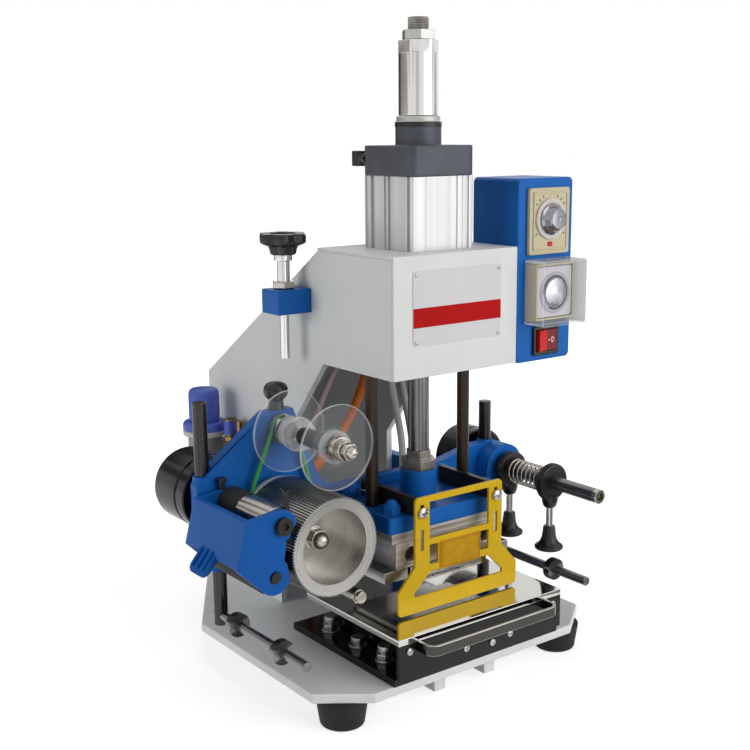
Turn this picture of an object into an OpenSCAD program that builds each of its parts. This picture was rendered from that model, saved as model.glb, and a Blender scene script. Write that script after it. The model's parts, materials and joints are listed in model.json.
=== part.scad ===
// Bench hot foil stamping machine with an air cylinder, a heated press head and a foil feed.
// The press axis stands at x = 0, y = 0 while the parts are drawn, the front faces -Y.

/* [Base] */
// Height of the rubber feet
foot_h = 27; // [22:1:34]
// Top diameter of a rubber foot
foot_d = 48; // [40:1:52]
// Bottom diameter of a rubber foot
foot_tip_d = 40; // [30:1:46]
// Thickness of the base plate
base_t = 9; // [6:1:14]
// Width of the base plate
base_w = 330; // [316:2:360]
// Reach of the base plate ahead of the press axis
base_front = 89; // [84:1:91]
// Reach of the base plate behind the press axis
base_rear = 287; // [280:1:310]
// Front corner cut, measured along the front edge
base_cut_w = 44; // [30:1:50]
// Front corner cut, measured along the side
base_cut_d = 33; // [24:1:38]
// Where the long rear corner cuts begin behind the press axis
base_side_end = 141; // [125:1:160]
// Width of the rear edge of the base plate
base_rear_w = 150; // [148:2:190]
// Width of a stiffening rib under the base plate
rib_w = 14; // [8:1:20]
// Height of a stiffening rib under the base plate
rib_h = 22; // [10:1:22]

/* [Frame] */
// Width of the frame and head
head_w = 146; // [144:1:160]
// Thickness of a side plate
plate_t = 7; // [6:0.5:7]
// Clear height from the base plate to the underside of the head
throat_h = 265.5; // [262:0.5:290]
// Height of the head
head_h = 109.5; // [104:0.5:130]
// Reach of the head ahead of the press axis
head_front = 56; // [54:1:57]
// Length of the level top of the head behind the press axis
head_back = 59.5; // [58:0.5:75]
// Where the throat begins behind the press axis
throat_back = 52.5; // [51:0.5:58]
// Front edge of the column behind the press axis
column_front = 136; // [120:1:145]
// Rear edge of the column behind the press axis
column_rear = 275; // [265:1:279]
// Height of the straight column edge above the base plate
column_edge_h = 163; // [150:1:180]
// Height of the rear edge of the column above the base plate
column_rear_h = 225.5; // [200:0.5:240]
// Thickness of the sheet that covers the head
cover_t = 3; // [2:0.5:4]
// Thickness of the floor plate in the head
floor_t = 8; // [6:1:12]
// Thickness of the sheet that closes the column
rear_t = 2; // [1.5:0.5:4]
// Diameter of the mains entry hole in the rear sheet
mains_hole_d = 16; // [10:1:20]

/* [Air cylinder] */
// Travel of the press head
stroke = 50; // [30:1:60]
// Width of the square barrel
barrel_w = 72; // [64:1:76]
// Least wall of the barrel round its bore
barrel_wall = 4.5; // [3.5:0.5:6]
// Width of the square top cap
cap_w = 75; // [74:1:80]
// Height of the top cap
cap_h = 27; // [20:1:34]
// Height of the bottom cap inside the head
bottom_cap_h = 22; // [16:1:28]
// Thickness of the piston
piston_t = 14; // [10:1:18]
// Diameter of the piston rod
rod_d = 20; // [16:1:22]
// Diameter of the threaded rear rod
rear_rod_d = 18; // [14:1:20]
// Diameter of the stop boss on the top cap
stop_d = 42; // [38:1:48]
// Height of the stop boss
stop_h = 20.6; // [14:0.2:30]
// Height of the soft stop ring
ring_h = 5.4; // [3:0.2:8]
// Diameter of the stroke adjuster sleeve
sleeve_d = 36; // [32:1:40]
// Length of the stroke adjuster sleeve
sleeve_h = 66; // [50:1:80]
// Height of the lock nut on the adjuster
lock_nut_h = 8.5; // [6:0.5:12]
// Length of bare stud above the lock nut
stud_h = 11; // [6:1:16]

/* [Press head] */
// Gap between the die plate and the table with the head down
work_gap = 24.5; // [18:0.5:32]
// Thickness of the die plate
die_t = 16.5; // [12:0.5:20]
// Width of the die plate
die_w = 94; // [80:1:96]
// Depth of the die plate and the heater
die_depth = 90; // [70:1:92]
// Height of the two die rails
die_rail_t = 10.5; // [6:0.5:12]
// Outside width over the die rails
die_rail_span = 152; // [140:1:160]
// Width of the heater block
heater_w = 125; // [110:1:130]
// Height of the heater block
heater_h = 25; // [20:1:32]
// Diameter of a heater cartridge
cartridge_d = 14; // [10:1:16]
// Distance between the two heater cartridges
cartridge_span = 90; // [60:1:96]
// Thickness of the insulation
insulation_t = 9.5; // [6:0.5:14]
// Width of the blue head plate
head_plate_w = 139; // [136:1:140]
// Thickness of the blue head plate
head_plate_t = 16; // [12:1:20]
// Diameter of the boss on the head plate
boss_d = 35; // [32:1:40]
// Height of the boss on the head plate
boss_h = 27; // [20:1:32]
// Height of the nut on the piston rod
rod_nut_h = 18; // [12:1:20]
// Diameter of a guide rod
guide_d = 12; // [10:1:13]
// Distance between the guide rods
guide_span = 112; // [108:1:112]
// Length of a guide bush
bush_h = 30; // [20:1:36]

/* [Guard] */
// Width of the upper part of the guard
guard_w = 106; // [100:1:112]
// Width of the foot of the guard
guard_foot_w = 145; // [130:1:150]
// Gap between the guard and the table
guard_gap = 2.5; // [2.2:0.1:4]
// Thickness of the guard plate
guard_t = 3; // [2:0.5:4]
// Height of the guard above the head plate
guard_over = 20; // [18:1:30]
// Height of the guard arm bars
guard_arm_h = 17; // [12:1:20]
// Thickness of a guard arm bar
guard_arm_t = 6; // [4:0.5:7]
// Distance between the two guard arm bars
guard_arm_span = 90; // [80:1:92]

/* [Table] */
// Thickness of the black table bed
bed_t = 7; // [5:1:10]
// Width of the table
table_w = 199; // [180:1:200]
// Reach of the table ahead of the press axis
table_front = 95.6; // [95:0.2:105]
// Reach of the table behind the press axis
table_rear = 48; // [44:1:50]
// Thickness of the table top
table_t = 6; // [4:0.5:10]
// Height of the table carriage over the rails
carriage_h = 25.5; // [20:0.5:32]
// Width of the table carriage
carriage_w = 140; // [120:1:150]
// Height of a table rail
rail_h = 7; // [5:1:10]
// Width of a table rail
rail_w = 16; // [10:1:20]
// Distance between the table rails
rail_span = 90; // [70:1:100]
// Thickness of the front apron
apron_t = 4; // [3:0.5:4]
// Length of the table handle
handle_w = 155; // [120:1:170]
// Reach of the table handle ahead of the apron
handle_reach = 18.5; // [15:0.5:26]
// Thickness of the handle strip
handle_t = 3; // [2:0.5:4]
// Height of the handle strip
handle_h = 10; // [7:0.5:12]

/* [Foil arm] */
// Thickness of the cast foil arm
arm_t = 12; // [10:1:12]
// Front face of the foil arm behind the press axis
arm_front = 52; // [51:0.5:54]
// Diameter of the upper and lower foil posts
post_d = 13; // [10:1:14]
// Diameter of the lower foil guide rods
foil_rod_d = 9; // [7:0.5:11]
// Diameter of the collars on the lower guide rods
foil_collar_d = 22; // [18:1:26]
// Diameter of the arm bolts
arm_bolt_d = 8; // [6:1:10]

/* [Foil feed] */
// Diameter of the toothed feed roller
feed_d = 90; // [84:1:92]
// Number of teeth on the feed roller
feed_teeth = 110; // [60:1:120]
// Depth of a tooth on the feed roller
tooth_h = 1.2; // [0.8:0.1:2]
// Sideways place of the feed roller
feed_x = -130; // [-131:0.5:-128]
// Height of the feed roller above the table top
feed_rise = 78.5; // [77:0.5:82]
// Reach of the feed roller ahead of the press axis
feed_front = 46; // [42:1:48]
// Diameter of the feed shaft
feed_shaft_d = 16; // [12:1:18]
// Diameter of the hollow in the feed roller
feed_hollow_d = 67.5; // [60:0.5:72]
// Depth of the hollow in the feed roller
feed_hollow_l = 36; // [20:1:40]
// Diameter of the clear rewind discs
disc_d = 77; // [70:1:80]
// Thickness of a rewind disc
disc_t = 3; // [2:0.5:4]
// Sideways place of the rewind shaft
rewind_x = -123; // [-126:0.5:-120]
// Height of the rewind shaft above the table top
rewind_rise = 166.5; // [165:0.5:172]
// Diameter of the rewind shaft
rewind_shaft_d = 10; // [8:1:12]
// Thickness of the round drive belt
belt_t = 4; // [3:0.5:5]
// Diameter of the cast drive motor
motor_d = 70; // [60:1:72]
// Diameter of the hard nip roller
drive_roller_d = 29; // [26:0.5:29]
// Diameter of the brass guide roller
guide_roller_d = 13; // [10:1:16]

/* [Foil supply] */
// Diameter of the supply shaft
supply_d = 14; // [12:1:16]
// Sideways place of the supply shaft
supply_x = 143.5; // [142:0.5:150]
// Height of the supply shaft above the table top
supply_rise = 85.5; // [84:0.5:90]
// Reach of the supply shaft ahead of the press axis
supply_front = 102.5; // [90:0.5:110]
// Diameter of the supply collars
collar_d = 38; // [34:1:42]
// Width of a supply collar
collar_w = 12; // [9:1:14]
// Mean diameter of the brake spring
spring_d = 24; // [21:0.5:26]
// Wire diameter of the brake spring
spring_wire = 2.2; // [1.6:0.1:2.6]
// Turns of the brake spring
spring_turns = 7; // [5:1:8]

/* [Control box] */
// Width of the control box
box_w = 71; // [68:1:80]
// Depth of the control box
box_d = 63; // [60:1:80]
// Height of the control box
box_h = 173; // [170:1:190]
// Wall of the control box
box_wall = 2; // [1.5:0.5:3]
// Diameter of the temperature and timer dials
dial_d = 37; // [32:1:40]
// Depth of the clear timer cover
cover_depth = 26; // [24:1:32]

/* [Air unit and hand screws] */
// Diameter of the regulator knob
reg_knob_d = 32; // [28:1:36]
// Diameter of the regulator ring
reg_ring_d = 46; // [42:1:50]
// Width of the blue clamp block
clamp_w = 37; // [32:1:42]
// Diameter of the star knob
star_d = 47; // [40:1:50]
// Diameter of the star screw stem
star_stem_d = 12; // [8:1:14]
// Length of the stem between the block and the star knob
star_stem_h = 32; // [24:1:40]
// Diameter of the air hoses
hose_d = 9; // [6:0.5:10]

/* [Hidden] */
$fn = 48;

// clearances
fit = 0.05;
run = 0.08;
gap = 0.3;

// heights, from the floor up
base_top = foot_h + base_t;
bed_top = base_top + bed_t;
rail_top = bed_top + rail_h;
table_bottom = rail_top + carriage_h;
table_top_z = table_bottom + table_t;
die_z = table_top_z + work_gap;
heater_z = die_z + die_t;
cartridge_z = heater_z + heater_h / 2;
insulation_z = heater_z + heater_h;
head_plate_z = insulation_z + insulation_t;
head_plate_top = head_plate_z + head_plate_t;
boss_top = head_plate_top + boss_h;
rod_nut_top = boss_top + rod_nut_h;
bore_d = barrel_w - 2 * barrel_wall;
head_z = base_top + throat_h;
head_top = head_z + head_h;
barrel_h = stroke + piston_t + 2;
barrel_top = head_top + barrel_h;
cap_top = barrel_top + cap_h;
stop_top = cap_top + stop_h;
sleeve_z = stop_top + ring_h + gap;
sleeve_top = sleeve_z + sleeve_h;
lock_nut_z = sleeve_top + gap;
stud_top = lock_nut_z + lock_nut_h + stud_h;
guard_z = table_top_z + guard_gap;
guard_top = head_plate_top + guard_over;
guard_h = guard_top - guard_z;

// frame
head_inner = head_w / 2 - plate_t;
column_rear_z = base_top + column_rear_h;
column_edge_z = base_top + column_edge_h;
floor_back = throat_back - 8;
mains_x = 30;
mains_z = base_top + 40;

// base
foot_x = base_w / 2 - foot_d / 2 - 8;
foot_y = base_front - foot_d / 2 - 9;
rear_foot_x = base_rear_w / 2;
rear_foot_y = base_rear - foot_d;
rib_x = 31;
rib_front = base_front - 19;
rib_rear = column_rear - 40;

// press head
guide_x = guide_span / 2;
bush_d = guide_d + 6;
guide_top = head_z + bush_h + 14;
die_front = die_depth / 2;
head_plate_front = 45;
guard_arm_x = guard_arm_span / 2;
arm_relief = 1.5;
guard_back = head_front + 2;
guard_arm_rear = 20;
guard_slot_z = head_plate_top + guard_arm_h / 3;
rod_nut_af = rod_d * 1.5;
lock_nut_af = rear_rod_d * 1.5;
dome_r = 8;
dome_x = guard_arm_x + guard_arm_t / 2 + dome_r / cos(30) + gap;
dome_y = head_plate_front - 13;
guard_screw_d = 4;

// table
apron_back = table_front - apron_t;
bed_front = apron_back - 1;
bed_rear = 72;
bed_half = table_w / 2 + 1;
bolt_x = 82;
bolt_ys = [34, -10.5, -51.5];
bolt_d = 8;
apron_z = bed_top + 0.5;
handle_z = table_bottom - 4;
handle_corner = 9;

// foil arm and feed
arm_back = arm_front + arm_t;
post_y = arm_front + arm_t / 2 + 2;
feed_z = table_top_z + feed_rise;
rewind_z = table_top_z + rewind_rise;
supply_z = table_top_z + supply_rise;
foil_rod_z = table_top_z - 3.5;
arm_mid_top = table_top_z + 99.5;
arm_rib_z = table_top_z + 46;
arm_rib_h = 44;
arm_rib_t = 12;
arm_rib_rear = column_front + 40;
arm_bolt_y = column_front + 24;
arm_bolt_zs = [arm_rib_z + 10, arm_rib_z + 34];
arm_top = rewind_z + 17;
post_left_x = -202;
post_low_x = -187.5;
post_right_x = supply_x - 4;
foil_rod_left_front = 84;
foil_rod_right_front = 92;
roller_pin_x = feed_x + 26;
roller_pin_z = feed_z - 52.4;
roller_pin_d = 6;
roller_front = 44;
feed_r = feed_d / 2;
feed_root_r = feed_r - tooth_h;
groove_y = arm_front - 7;
groove_r1 = 39.2;
groove_r2 = 9.4;
belt_r1 = groove_r1 + gap + belt_t / 2;
belt_r2 = groove_r2 + gap + belt_t / 2;
belt_rim = 1.4;
feed_teeth_end = groove_y - belt_t / 2 - belt_rim - 1.5;
disc_ys = [-41.5, 34.5];
disc_bore_d = 16;

// nip bracket, placed from the feed roller
pivot_x = feed_x - 52;
pivot_z = feed_z + 29.8;
nip_x = feed_x - 60.4;
nip_z = feed_z - 14.7;
nip_reach = norm([nip_x - feed_x, nip_z - feed_z]);
nip_d = 2 * (nip_reach - feed_r - gap);
axle_d = 10;
cheek_t = 7;
nip_boss_r = 16;
pivot_boss_r = 14;
cheek_front = 42;
cheek_rear = arm_front - 2;
web_top = [pivot_x - 34.5, pivot_z + 9.5];
web_low = [pivot_x - 45, pivot_z - 31];
web_t = 6;
tab_root = web_low + [web_t / 2, 2];
tab_y = 10;
tab_w = 28;
tab_l = 22;
tab_over = 4;
tab_t = 5;
tab_r = 8;
tab_lean = 40;
motor_y = [arm_back + 6, arm_back + 76];
supply_motor_end = arm_back + 48;

// foil supply
collar_ys = [-35, 24];
arm_boss_front = collar_ys[1] + collar_w / 2 + 2;
supply_rear_d = supply_d - 1;
spindle_end = collar_ys[0] - collar_w / 2 - 4;
arm_boss_r = 25;
thumb_stem_d = 7;
thumb_len = 71;
thumb_knob_h = 24;
thumb_knob_d = 29;

// foil posts
post_wall = 2;
post_depth = 21;
post_left_z = pivot_z + 25;
post_low_z = feed_z - 38;
post_right_z = supply_z + arm_boss_r + 2;
post_right_low = supply_z - supply_d / 2 - 7;
post_left_top = table_top_z + 200.5;
post_right_top = table_top_z + 153.5;

// control box
box_x = head_w / 2;
box_z = head_z - 1.5;
dial_x = box_x + box_w / 2 + 1.5;
temp_z = box_z + 0.769 * box_h;
timer_z = box_z + 0.39 * box_h;
switch_z = box_z + 0.113 * box_h;
temp_bezel = [0.733 * box_w, 0.358 * box_h];
timer_bezel = [0.705 * box_w, 0.324 * box_h];
bezel_t = 4;
bezel_y = head_front + bezel_t;
dial_y = bezel_y + 2;
unit_w = 0.62 * box_w;
cover_w = 0.803 * box_w;
cover_h = 0.353 * box_h;
hinge_d = 3;
hinge_y = head_front + hinge_d / 2 + 0.5;
unit_depth = 40;
spindle_d = 6;
spindle_l = 9;
switch_size = [0.465 * box_w, 0.162 * box_h];
switch_case = switch_size - [5, 5];
switch_window = switch_case - [1, 2];
switch_proud = 3;
rocker_y = head_front - 3;
rocker_w = switch_window[0] - 1.8;
rocker_h = switch_window[1] - 2 * gap;
rocker_tilt = 7;

// air unit and hand screws
reg_x = -head_w / 2 - 30;
reg_y = 233;
reg_z = base_top + 124;
reg_ring_z = reg_z + 43;
reg_top = reg_ring_z + 15;
reg_body_d = reg_ring_d - 10;
reg_knob_h = 34.5;
reg_stem_d = 8;
reg_stem_h = 10;
inlet_x = -head_w / 2 - 18;
inlet_y = 199;
inlet_z = base_top + 152;
inlet_h = 12;
clamp_x = -head_w / 2 - clamp_w;
clamp_y = [70, 100];
clamp_z = head_z + 47.5;
clamp_h = 23;
star_x = -head_w / 2 - 20;
star_y = 87;
star_z = clamp_z + clamp_h + star_stem_h;
star_h = 20;
knob_x = rewind_x;
knob_y = arm_front + arm_t / 2;
arm_knob_d = 21;
arm_knob_h = 25;
knob_stem_d = 7;
knob_stem_l = 8;

// the drawn parts move so that the origin lies under the middle of the machine's box
reach_left = tab_root[0] - tab_l * sin(tab_lean) - tab_t / 2 * cos(tab_lean);
reach_right = max(base_w / 2, supply_x + motor_d / 2 - 1);
reach_front = -table_front - handle_reach - handle_t / 2;
reach_rear = base_rear;
frame_x = -(reach_left + reach_right) / 2;
frame_y = -(reach_front + reach_rear) / 2;

// hose routes, points along the middle of each hose
valve_size = [48, 36, 34];
valve_top = base_top + valve_size[2];
coil_back = 20;
coil_h = 30;
hose_end_y = 206;
hose_hole = [3, 50];
orange_route = [[22, barrel_w / 2 + gap, head_top - 16], [22, 48, head_top - 16], [22, 62, head_top - 22],
    [16, 92, head_top - 70], [12, 100, head_z - 26], [-15, 102, head_z - 82], [-48, 106, head_z - 118],
    [-50, 128, head_z - 150], [-20, 165, head_z - 190], [2, hose_end_y - 4, valve_top + 34],
    [4, hose_end_y, valve_top + gap]];
upper_route = [[-14 + gap, 50, cap_top - 12], [-6, 50, cap_top - 13], [2, 50, cap_top - 24],
    [3, 50, barrel_top - 20], [3, 50, head_top + 8], [3, 51, head_top - 24], [-4, 78, head_z + 34],
    [-28, 100, head_z - 20], [-44, 118, head_z - 78], [-46, 150, head_z - 140], [-44, 180, head_z - 172],
    [-16, hose_end_y - 3, valve_top + 40], [-14, hose_end_y, valve_top + gap]];
lead_route = [[14, floor_back + gap, head_z + 4], [14, floor_back + 4, head_z + 4],
    [14, floor_back + 8, head_z + 4], [14, floor_back + 15, head_z], [15, floor_back + 19, head_z - 8],
    [17, 64, head_z - 32], [29, 65, head_z - 84], [27, 59, arm_mid_top + 14], [27, 59, arm_mid_top + gap]];
second_lead = [13, 0, 0];

// shared shapes

// a cylinder along Y between two depths
module rod_y(d, y0, y1, x, z) {
    translate([x, y0, z]) rotate([-90, 0, 0]) cylinder(d = d, h = y1 - y0);
}

// a cylinder along X between two places
module rod_x(d, x0, x1, y, z) {
    translate([x0, y, z]) rotate([0, 90, 0]) cylinder(d = d, h = x1 - x0);
}

// a cylinder along Z between two heights
module rod_z(d, z0, z1, x, y) {
    translate([x, y, z0]) cylinder(d = d, h = z1 - z0);
}

// a box given by its two corners
module block(a, b) {
    translate(a) cube(b - a);
}

// a drawing in X and Z given a depth along Y
module slab_xz(y0, y1) {
    translate([0, y1, 0]) rotate([90, 0, 0]) linear_extrude(y1 - y0) children();
}

// a drawing in Y and Z given a width along X
module slab_yz(x0, x1) {
    translate([x0, 0, 0]) rotate([90, 0, 90]) linear_extrude(x1 - x0) children();
}

// a flat rectangle with round corners
module round_rect(w, h, r) {
    square([w - 2 * r, h], center = true);
    square([w, h - 2 * r], center = true);
    for (sx = [-1, 1], sy = [-1, 1]) translate([sx * (w / 2 - r), sy * (h / 2 - r)]) circle(r);
}

// a hexagon nut blank along Z
module hex_z(af, z0, z1, x, y) {
    translate([x, y, z0]) cylinder(d = af / cos(30), h = z1 - z0, $fn = 6);
}

function unit(v) = v / norm(v);

// the direction of a route at one of its points
function along(p, i) = i == 0 ? unit(p[1] - p[0])
    : i == len(p) - 1 ? unit(p[i] - p[i - 1])
    : unit(unit(p[i + 1] - p[i]) + unit(p[i] - p[i - 1]));

// one point of a smooth curve through four route points
function curve_point(a, b, c, d, t) = 0.5 * (2 * b + (c - a) * t + (2 * a - 5 * b + 4 * c - d) * t * t
    + (3 * b - a - 3 * c + d) * t * t * t);

// a smooth route through hand chosen points
function smooth(p, steps) = concat([for (i = [0 : len(p) - 2], s = [0 : steps - 1])
    curve_point(p[max(i - 1, 0)], p[i], p[i + 1], p[min(i + 2, len(p) - 1)], s / steps)], [p[len(p) - 1]]);

// a tube swept along a route, with one sideways direction for each point
module sweep(p, across, r, sides) {
    n = len(p);
    rings = [for (i = [0 : n - 1], k = [0 : sides - 1])
        let (t = along(p, i), s = unit(across[i] - t * (across[i] * t)), u = cross(t, s), a = 360 * k / sides)
        p[i] + r * (cos(a) * s + sin(a) * u)];
    walls = [for (i = [0 : n - 2], k = [0 : sides - 1], half = [0, 1])
        let (a = i * sides + k, b = i * sides + (k + 1) % sides)
        half == 0 ? [a, a + sides, b] : [b, a + sides, b + sides]];
    first = [for (k = [1 : sides - 2]) [0, k, k + 1]];
    last = [for (k = [1 : sides - 2]) [(n - 1) * sides, (n - 1) * sides + k + 1, (n - 1) * sides + k]];
    polyhedron(points = rings, faces = concat(walls, first, last));
}

// a hose along hand chosen points
module hose(route, d, steps) {
    p = smooth(route, steps);
    sweep(p, [for (q = p) [1, 0.6, 0.3]], d / 2, 8);
}

// base and frame

module base_outline() {
    half = base_w / 2;
    polygon([[-half + base_cut_w, -base_front], [half - base_cut_w, -base_front],
        [half, -base_front + base_cut_d], [half, base_side_end], [base_rear_w / 2, base_rear],
        [-base_rear_w / 2, base_rear], [-half, base_side_end], [-half, -base_front + base_cut_d]]);
}

module base_plate() {
    color("gainsboro") {
        translate([0, 0, foot_h]) linear_extrude(base_t) base_outline();
        for (s = [-1, 1])
            block([s * rib_x - rib_w / 2, -rib_front, foot_h - rib_h],
                [s * rib_x + rib_w / 2, rib_rear, foot_h]);
    }
}

module rubber_feet() {
    color("dimgray") for (s = [-1, 1]) {
        translate([s * foot_x, -foot_y, 0]) cylinder(d1 = foot_tip_d, d2 = foot_d, h = foot_h);
        translate([s * rear_foot_x, rear_foot_y, 0]) cylinder(d1 = foot_tip_d, d2 = foot_d, h = foot_h);
    }
}

module side_plates() {
    outline = [[-head_front + cover_t, head_z], [-head_front + cover_t, head_top - cover_t],
        [head_back, head_top - cover_t], [column_rear, column_rear_z], [column_rear, base_top],
        [column_front, base_top], [column_front, column_edge_z], [throat_back, head_z]];
    color("gainsboro") for (s = [0, 1]) mirror([s, 0, 0]) difference() {
        slab_yz(head_inner, head_w / 2) polygon(outline);
        for (z = arm_bolt_zs) rod_x(arm_bolt_d + 2 * fit, head_inner - 1, head_w / 2 + 1, arm_bolt_y, z);
    }
}

module head_cover() {
    color("whitesmoke") difference() {
        union() {
            block([-head_w / 2, -head_front, head_z], [head_w / 2, -head_front + cover_t, head_top]);
            block([-head_w / 2, -head_front, head_top - cover_t], [head_w / 2, head_back, head_top]);
        }
        rod_z(bore_d + 2 * fit, head_top - cover_t - 1, head_top + 1, 0, 0);
        rod_z(hose_d + 1, head_top - cover_t - 1, head_top + 1, hose_hole[0], hose_hole[1]);
    }
}

module head_floor() {
    color("gainsboro") difference() {
        block([-head_inner, -head_front + cover_t, head_z], [head_inner, floor_back, head_z + floor_t]);
        rod_z(rod_d + 4, head_z - 1, head_z + floor_t + 1, 0, 0);
        for (s = [-1, 1]) rod_z(bush_d + 2 * fit, head_z - 1, head_z + floor_t + 1, s * guide_x, 0);
    }
}

module guide_bushes() {
    color("peru") for (s = [-1, 1]) difference() {
        rod_z(bush_d, head_z, head_z + bush_h, s * guide_x, 0);
        rod_z(guide_d + 2 * run, head_z - 1, head_z + bush_h + 1, s * guide_x, 0);
    }
}

module rear_cover() {
    slope = (head_top - cover_t - column_rear_z) / (column_rear - head_back);
    drop = rear_t * sqrt(1 + slope * slope);
    color("gainsboro") difference() {
        slab_yz(-head_inner, head_inner) polygon([[head_back, head_top - cover_t], [column_rear, column_rear_z],
            [column_rear, base_top], [column_rear - rear_t, base_top],
            [column_rear - rear_t, column_rear_z + rear_t * slope - drop],
            [head_back, head_top - cover_t - drop]]);
        rod_y(mains_hole_d, column_rear - rear_t - 1, column_rear + 1, mains_x, mains_z);
    }
}

// air cylinder

module cylinder_barrel() {
    flute = 3;
    color("silver") translate([0, 0, head_top]) linear_extrude(barrel_h) difference() {
        round_rect(barrel_w, barrel_w, 8);
        circle(d = bore_d);
        for (a = [0 : 90 : 270], s = [-1, 1]) rotate(a)
            translate([barrel_w / 2, s * (barrel_w / 2 - 12)]) circle(flute);
    }
}

module cylinder_caps() {
    color("dimgray") {
        difference() {
            union() {
                translate([0, 0, barrel_top]) linear_extrude(cap_h) round_rect(cap_w, cap_w, 9);
                rod_z(stop_d, cap_top, stop_top, 0, 0);
            }
            rod_z(rear_rod_d + 2 * run, barrel_top - 1, stop_top + 1, 0, 0);
        }
        difference() {
            rod_z(stop_d - 2, stop_top, stop_top + ring_h, 0, 0);
            rod_z(rear_rod_d + 2 * gap, stop_top - 1, stop_top + ring_h + 1, 0, 0);
        }
        difference() {
            union() {
                translate([0, 0, head_top - cover_t - bottom_cap_h]) linear_extrude(bottom_cap_h)
                    round_rect(barrel_w, barrel_w, 8);
                rod_z(bore_d, head_top - cover_t, head_top, 0, 0);
            }
            rod_z(rod_d + 2 * run, head_top - cover_t - bottom_cap_h - 1, head_top + 1, 0, 0);
        }
    }
}

module air_fittings() {
    port_d = 10;
    elbow_d = 14;
    elbow = [-30, hose_hole[1], cap_top - 12];
    color("dimgray") {
        rod_y(port_d, cap_w / 2, elbow[1], elbow[0], elbow[2]);
        rod_z(elbow_d, elbow[2] - elbow_d / 2, elbow[2] + elbow_d / 2, elbow[0], elbow[1]);
        rod_x(port_d, elbow[0], upper_route[0][0] - gap, elbow[1], elbow[2]);
    }
    color("goldenrod") {
        block([inlet_x - 8, inlet_y - 28, inlet_z], [-head_w / 2, inlet_y + 7, inlet_z + inlet_h]);
        rod_z(10, inlet_z + inlet_h, inlet_z + inlet_h + 8, inlet_x, inlet_y);
        rod_z(14, inlet_z + inlet_h + 8, inlet_z + inlet_h + 24, inlet_x, inlet_y);
        rod_z(9, inlet_z + inlet_h, inlet_z + inlet_h + 26, inlet_x, inlet_y - 21);
    }
}

// control box

module control_box() {
    mid_x = box_x + box_w / 2;
    mid_z = box_z + box_h / 2;
    color("royalblue") difference() {
        slab_xz(-head_front, -head_front + box_d) translate([mid_x, mid_z]) round_rect(box_w, box_h, 5);
        slab_xz(-head_front + box_wall, -head_front + box_d - box_wall) translate([mid_x, mid_z])
            square([box_w - 2 * box_wall, box_h - 2 * box_wall], center = true);
        slab_xz(-head_front - 1, -head_front + box_wall + 1) for (z = [temp_z, timer_z])
            translate([dial_x, z]) square(unit_w + 2 * fit, center = true);
        slab_xz(-head_front - 1, -head_front + box_wall + 1) translate([dial_x, switch_z])
            square([switch_case[0] + 2 * fit, switch_case[1] + 2 * fit], center = true);
    }
}

// a panel unit with a bezel, a case behind the panel, a round dial and a hole for the knob's spindle
module panel_unit(z, bezel, dial_z) {
    difference() {
        union() {
            slab_xz(-bezel_y, -head_front) translate([dial_x, z]) round_rect(bezel[0], bezel[1], 2.5);
            slab_xz(-head_front, -head_front + unit_depth) translate([dial_x, z]) square(unit_w, center = true);
            rod_y(dial_d, -dial_y, -bezel_y, dial_x, dial_z);
        }
        rod_y(spindle_d + 2 * run, -dial_y - 1, -dial_y + spindle_l + 1, dial_x, dial_z);
    }
}

// a knob with flutes that turns on a panel unit
module panel_knob(d, l, dial_z, flutes) {
    front = dial_y + gap + l;
    flute_r = d / 2 + 0.6;
    difference() {
        union() {
            rod_y(d, -front, -dial_y - gap, dial_x, dial_z);
            rod_y(spindle_d, -dial_y - gap, -dial_y + spindle_l, dial_x, dial_z);
        }
        for (a = [0 : 360 / flutes : 359])
            rod_y(3, -front - 1, -front + l - 3, dial_x + flute_r * cos(a), dial_z + flute_r * sin(a));
        block([dial_x - 0.8, -front - 1, dial_z + 2], [dial_x + 0.8, -front + 1, dial_z + d / 2 + 1]);
    }
}

module temperature_controller() {
    color("antiquewhite") panel_unit(temp_z, temp_bezel, temp_z + 2);
}

module temperature_knob() {
    color("silver") panel_knob(dial_d - 8, 11, temp_z + 2, 16);
}

module timer_unit() {
    color("antiquewhite") panel_unit(timer_z, timer_bezel, timer_z - 1);
}

module timer_knob() {
    color("silver") panel_knob(dial_d - 8, 9, timer_z - 1, 24);
}

module timer_cover() {
    wall = 2;
    front = head_front + gap + cover_depth;
    color("lightcyan") {
        difference() {
            slab_xz(-front, -head_front - gap) translate([dial_x, timer_z]) round_rect(cover_w, cover_h, 3);
            slab_xz(-front + wall, -head_front) translate([dial_x, timer_z])
                square([cover_w - 2 * wall, cover_h - 2 * wall], center = true);
        }
        rod_z(hinge_d, timer_z - cover_h / 3, timer_z + cover_h / 3, dial_x + cover_w / 2, -hinge_y);
    }
}

module switch_frame() {
    color("black") difference() {
        union() {
            slab_xz(-head_front - switch_proud, -head_front)
                translate([dial_x, switch_z]) round_rect(switch_size[0], switch_size[1], 2);
            slab_xz(-head_front, -head_front + 20) translate([dial_x, switch_z])
                square(switch_case, center = true);
        }
        slab_xz(-head_front - switch_proud - 1, -head_front + 14) translate([dial_x, switch_z])
            square(switch_window, center = true);
    }
}

// a rocker with a shallow valley across its front, lying on one of its two sides
module power_rocker() {
    half = rocker_w / 2;
    edge = 7.5;
    valley = 6;
    color("red") translate([dial_x, -rocker_y, switch_z - rocker_h / 2]) rotate([0, 0, rocker_tilt])
        linear_extrude(rocker_h) {
            polygon([[-half, 2], [-half, -edge], [0, -valley], [half, -edge], [half, 2], [0, 4]]);
            circle(valley - 1);
        }
}

// air unit and hand screws

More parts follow.
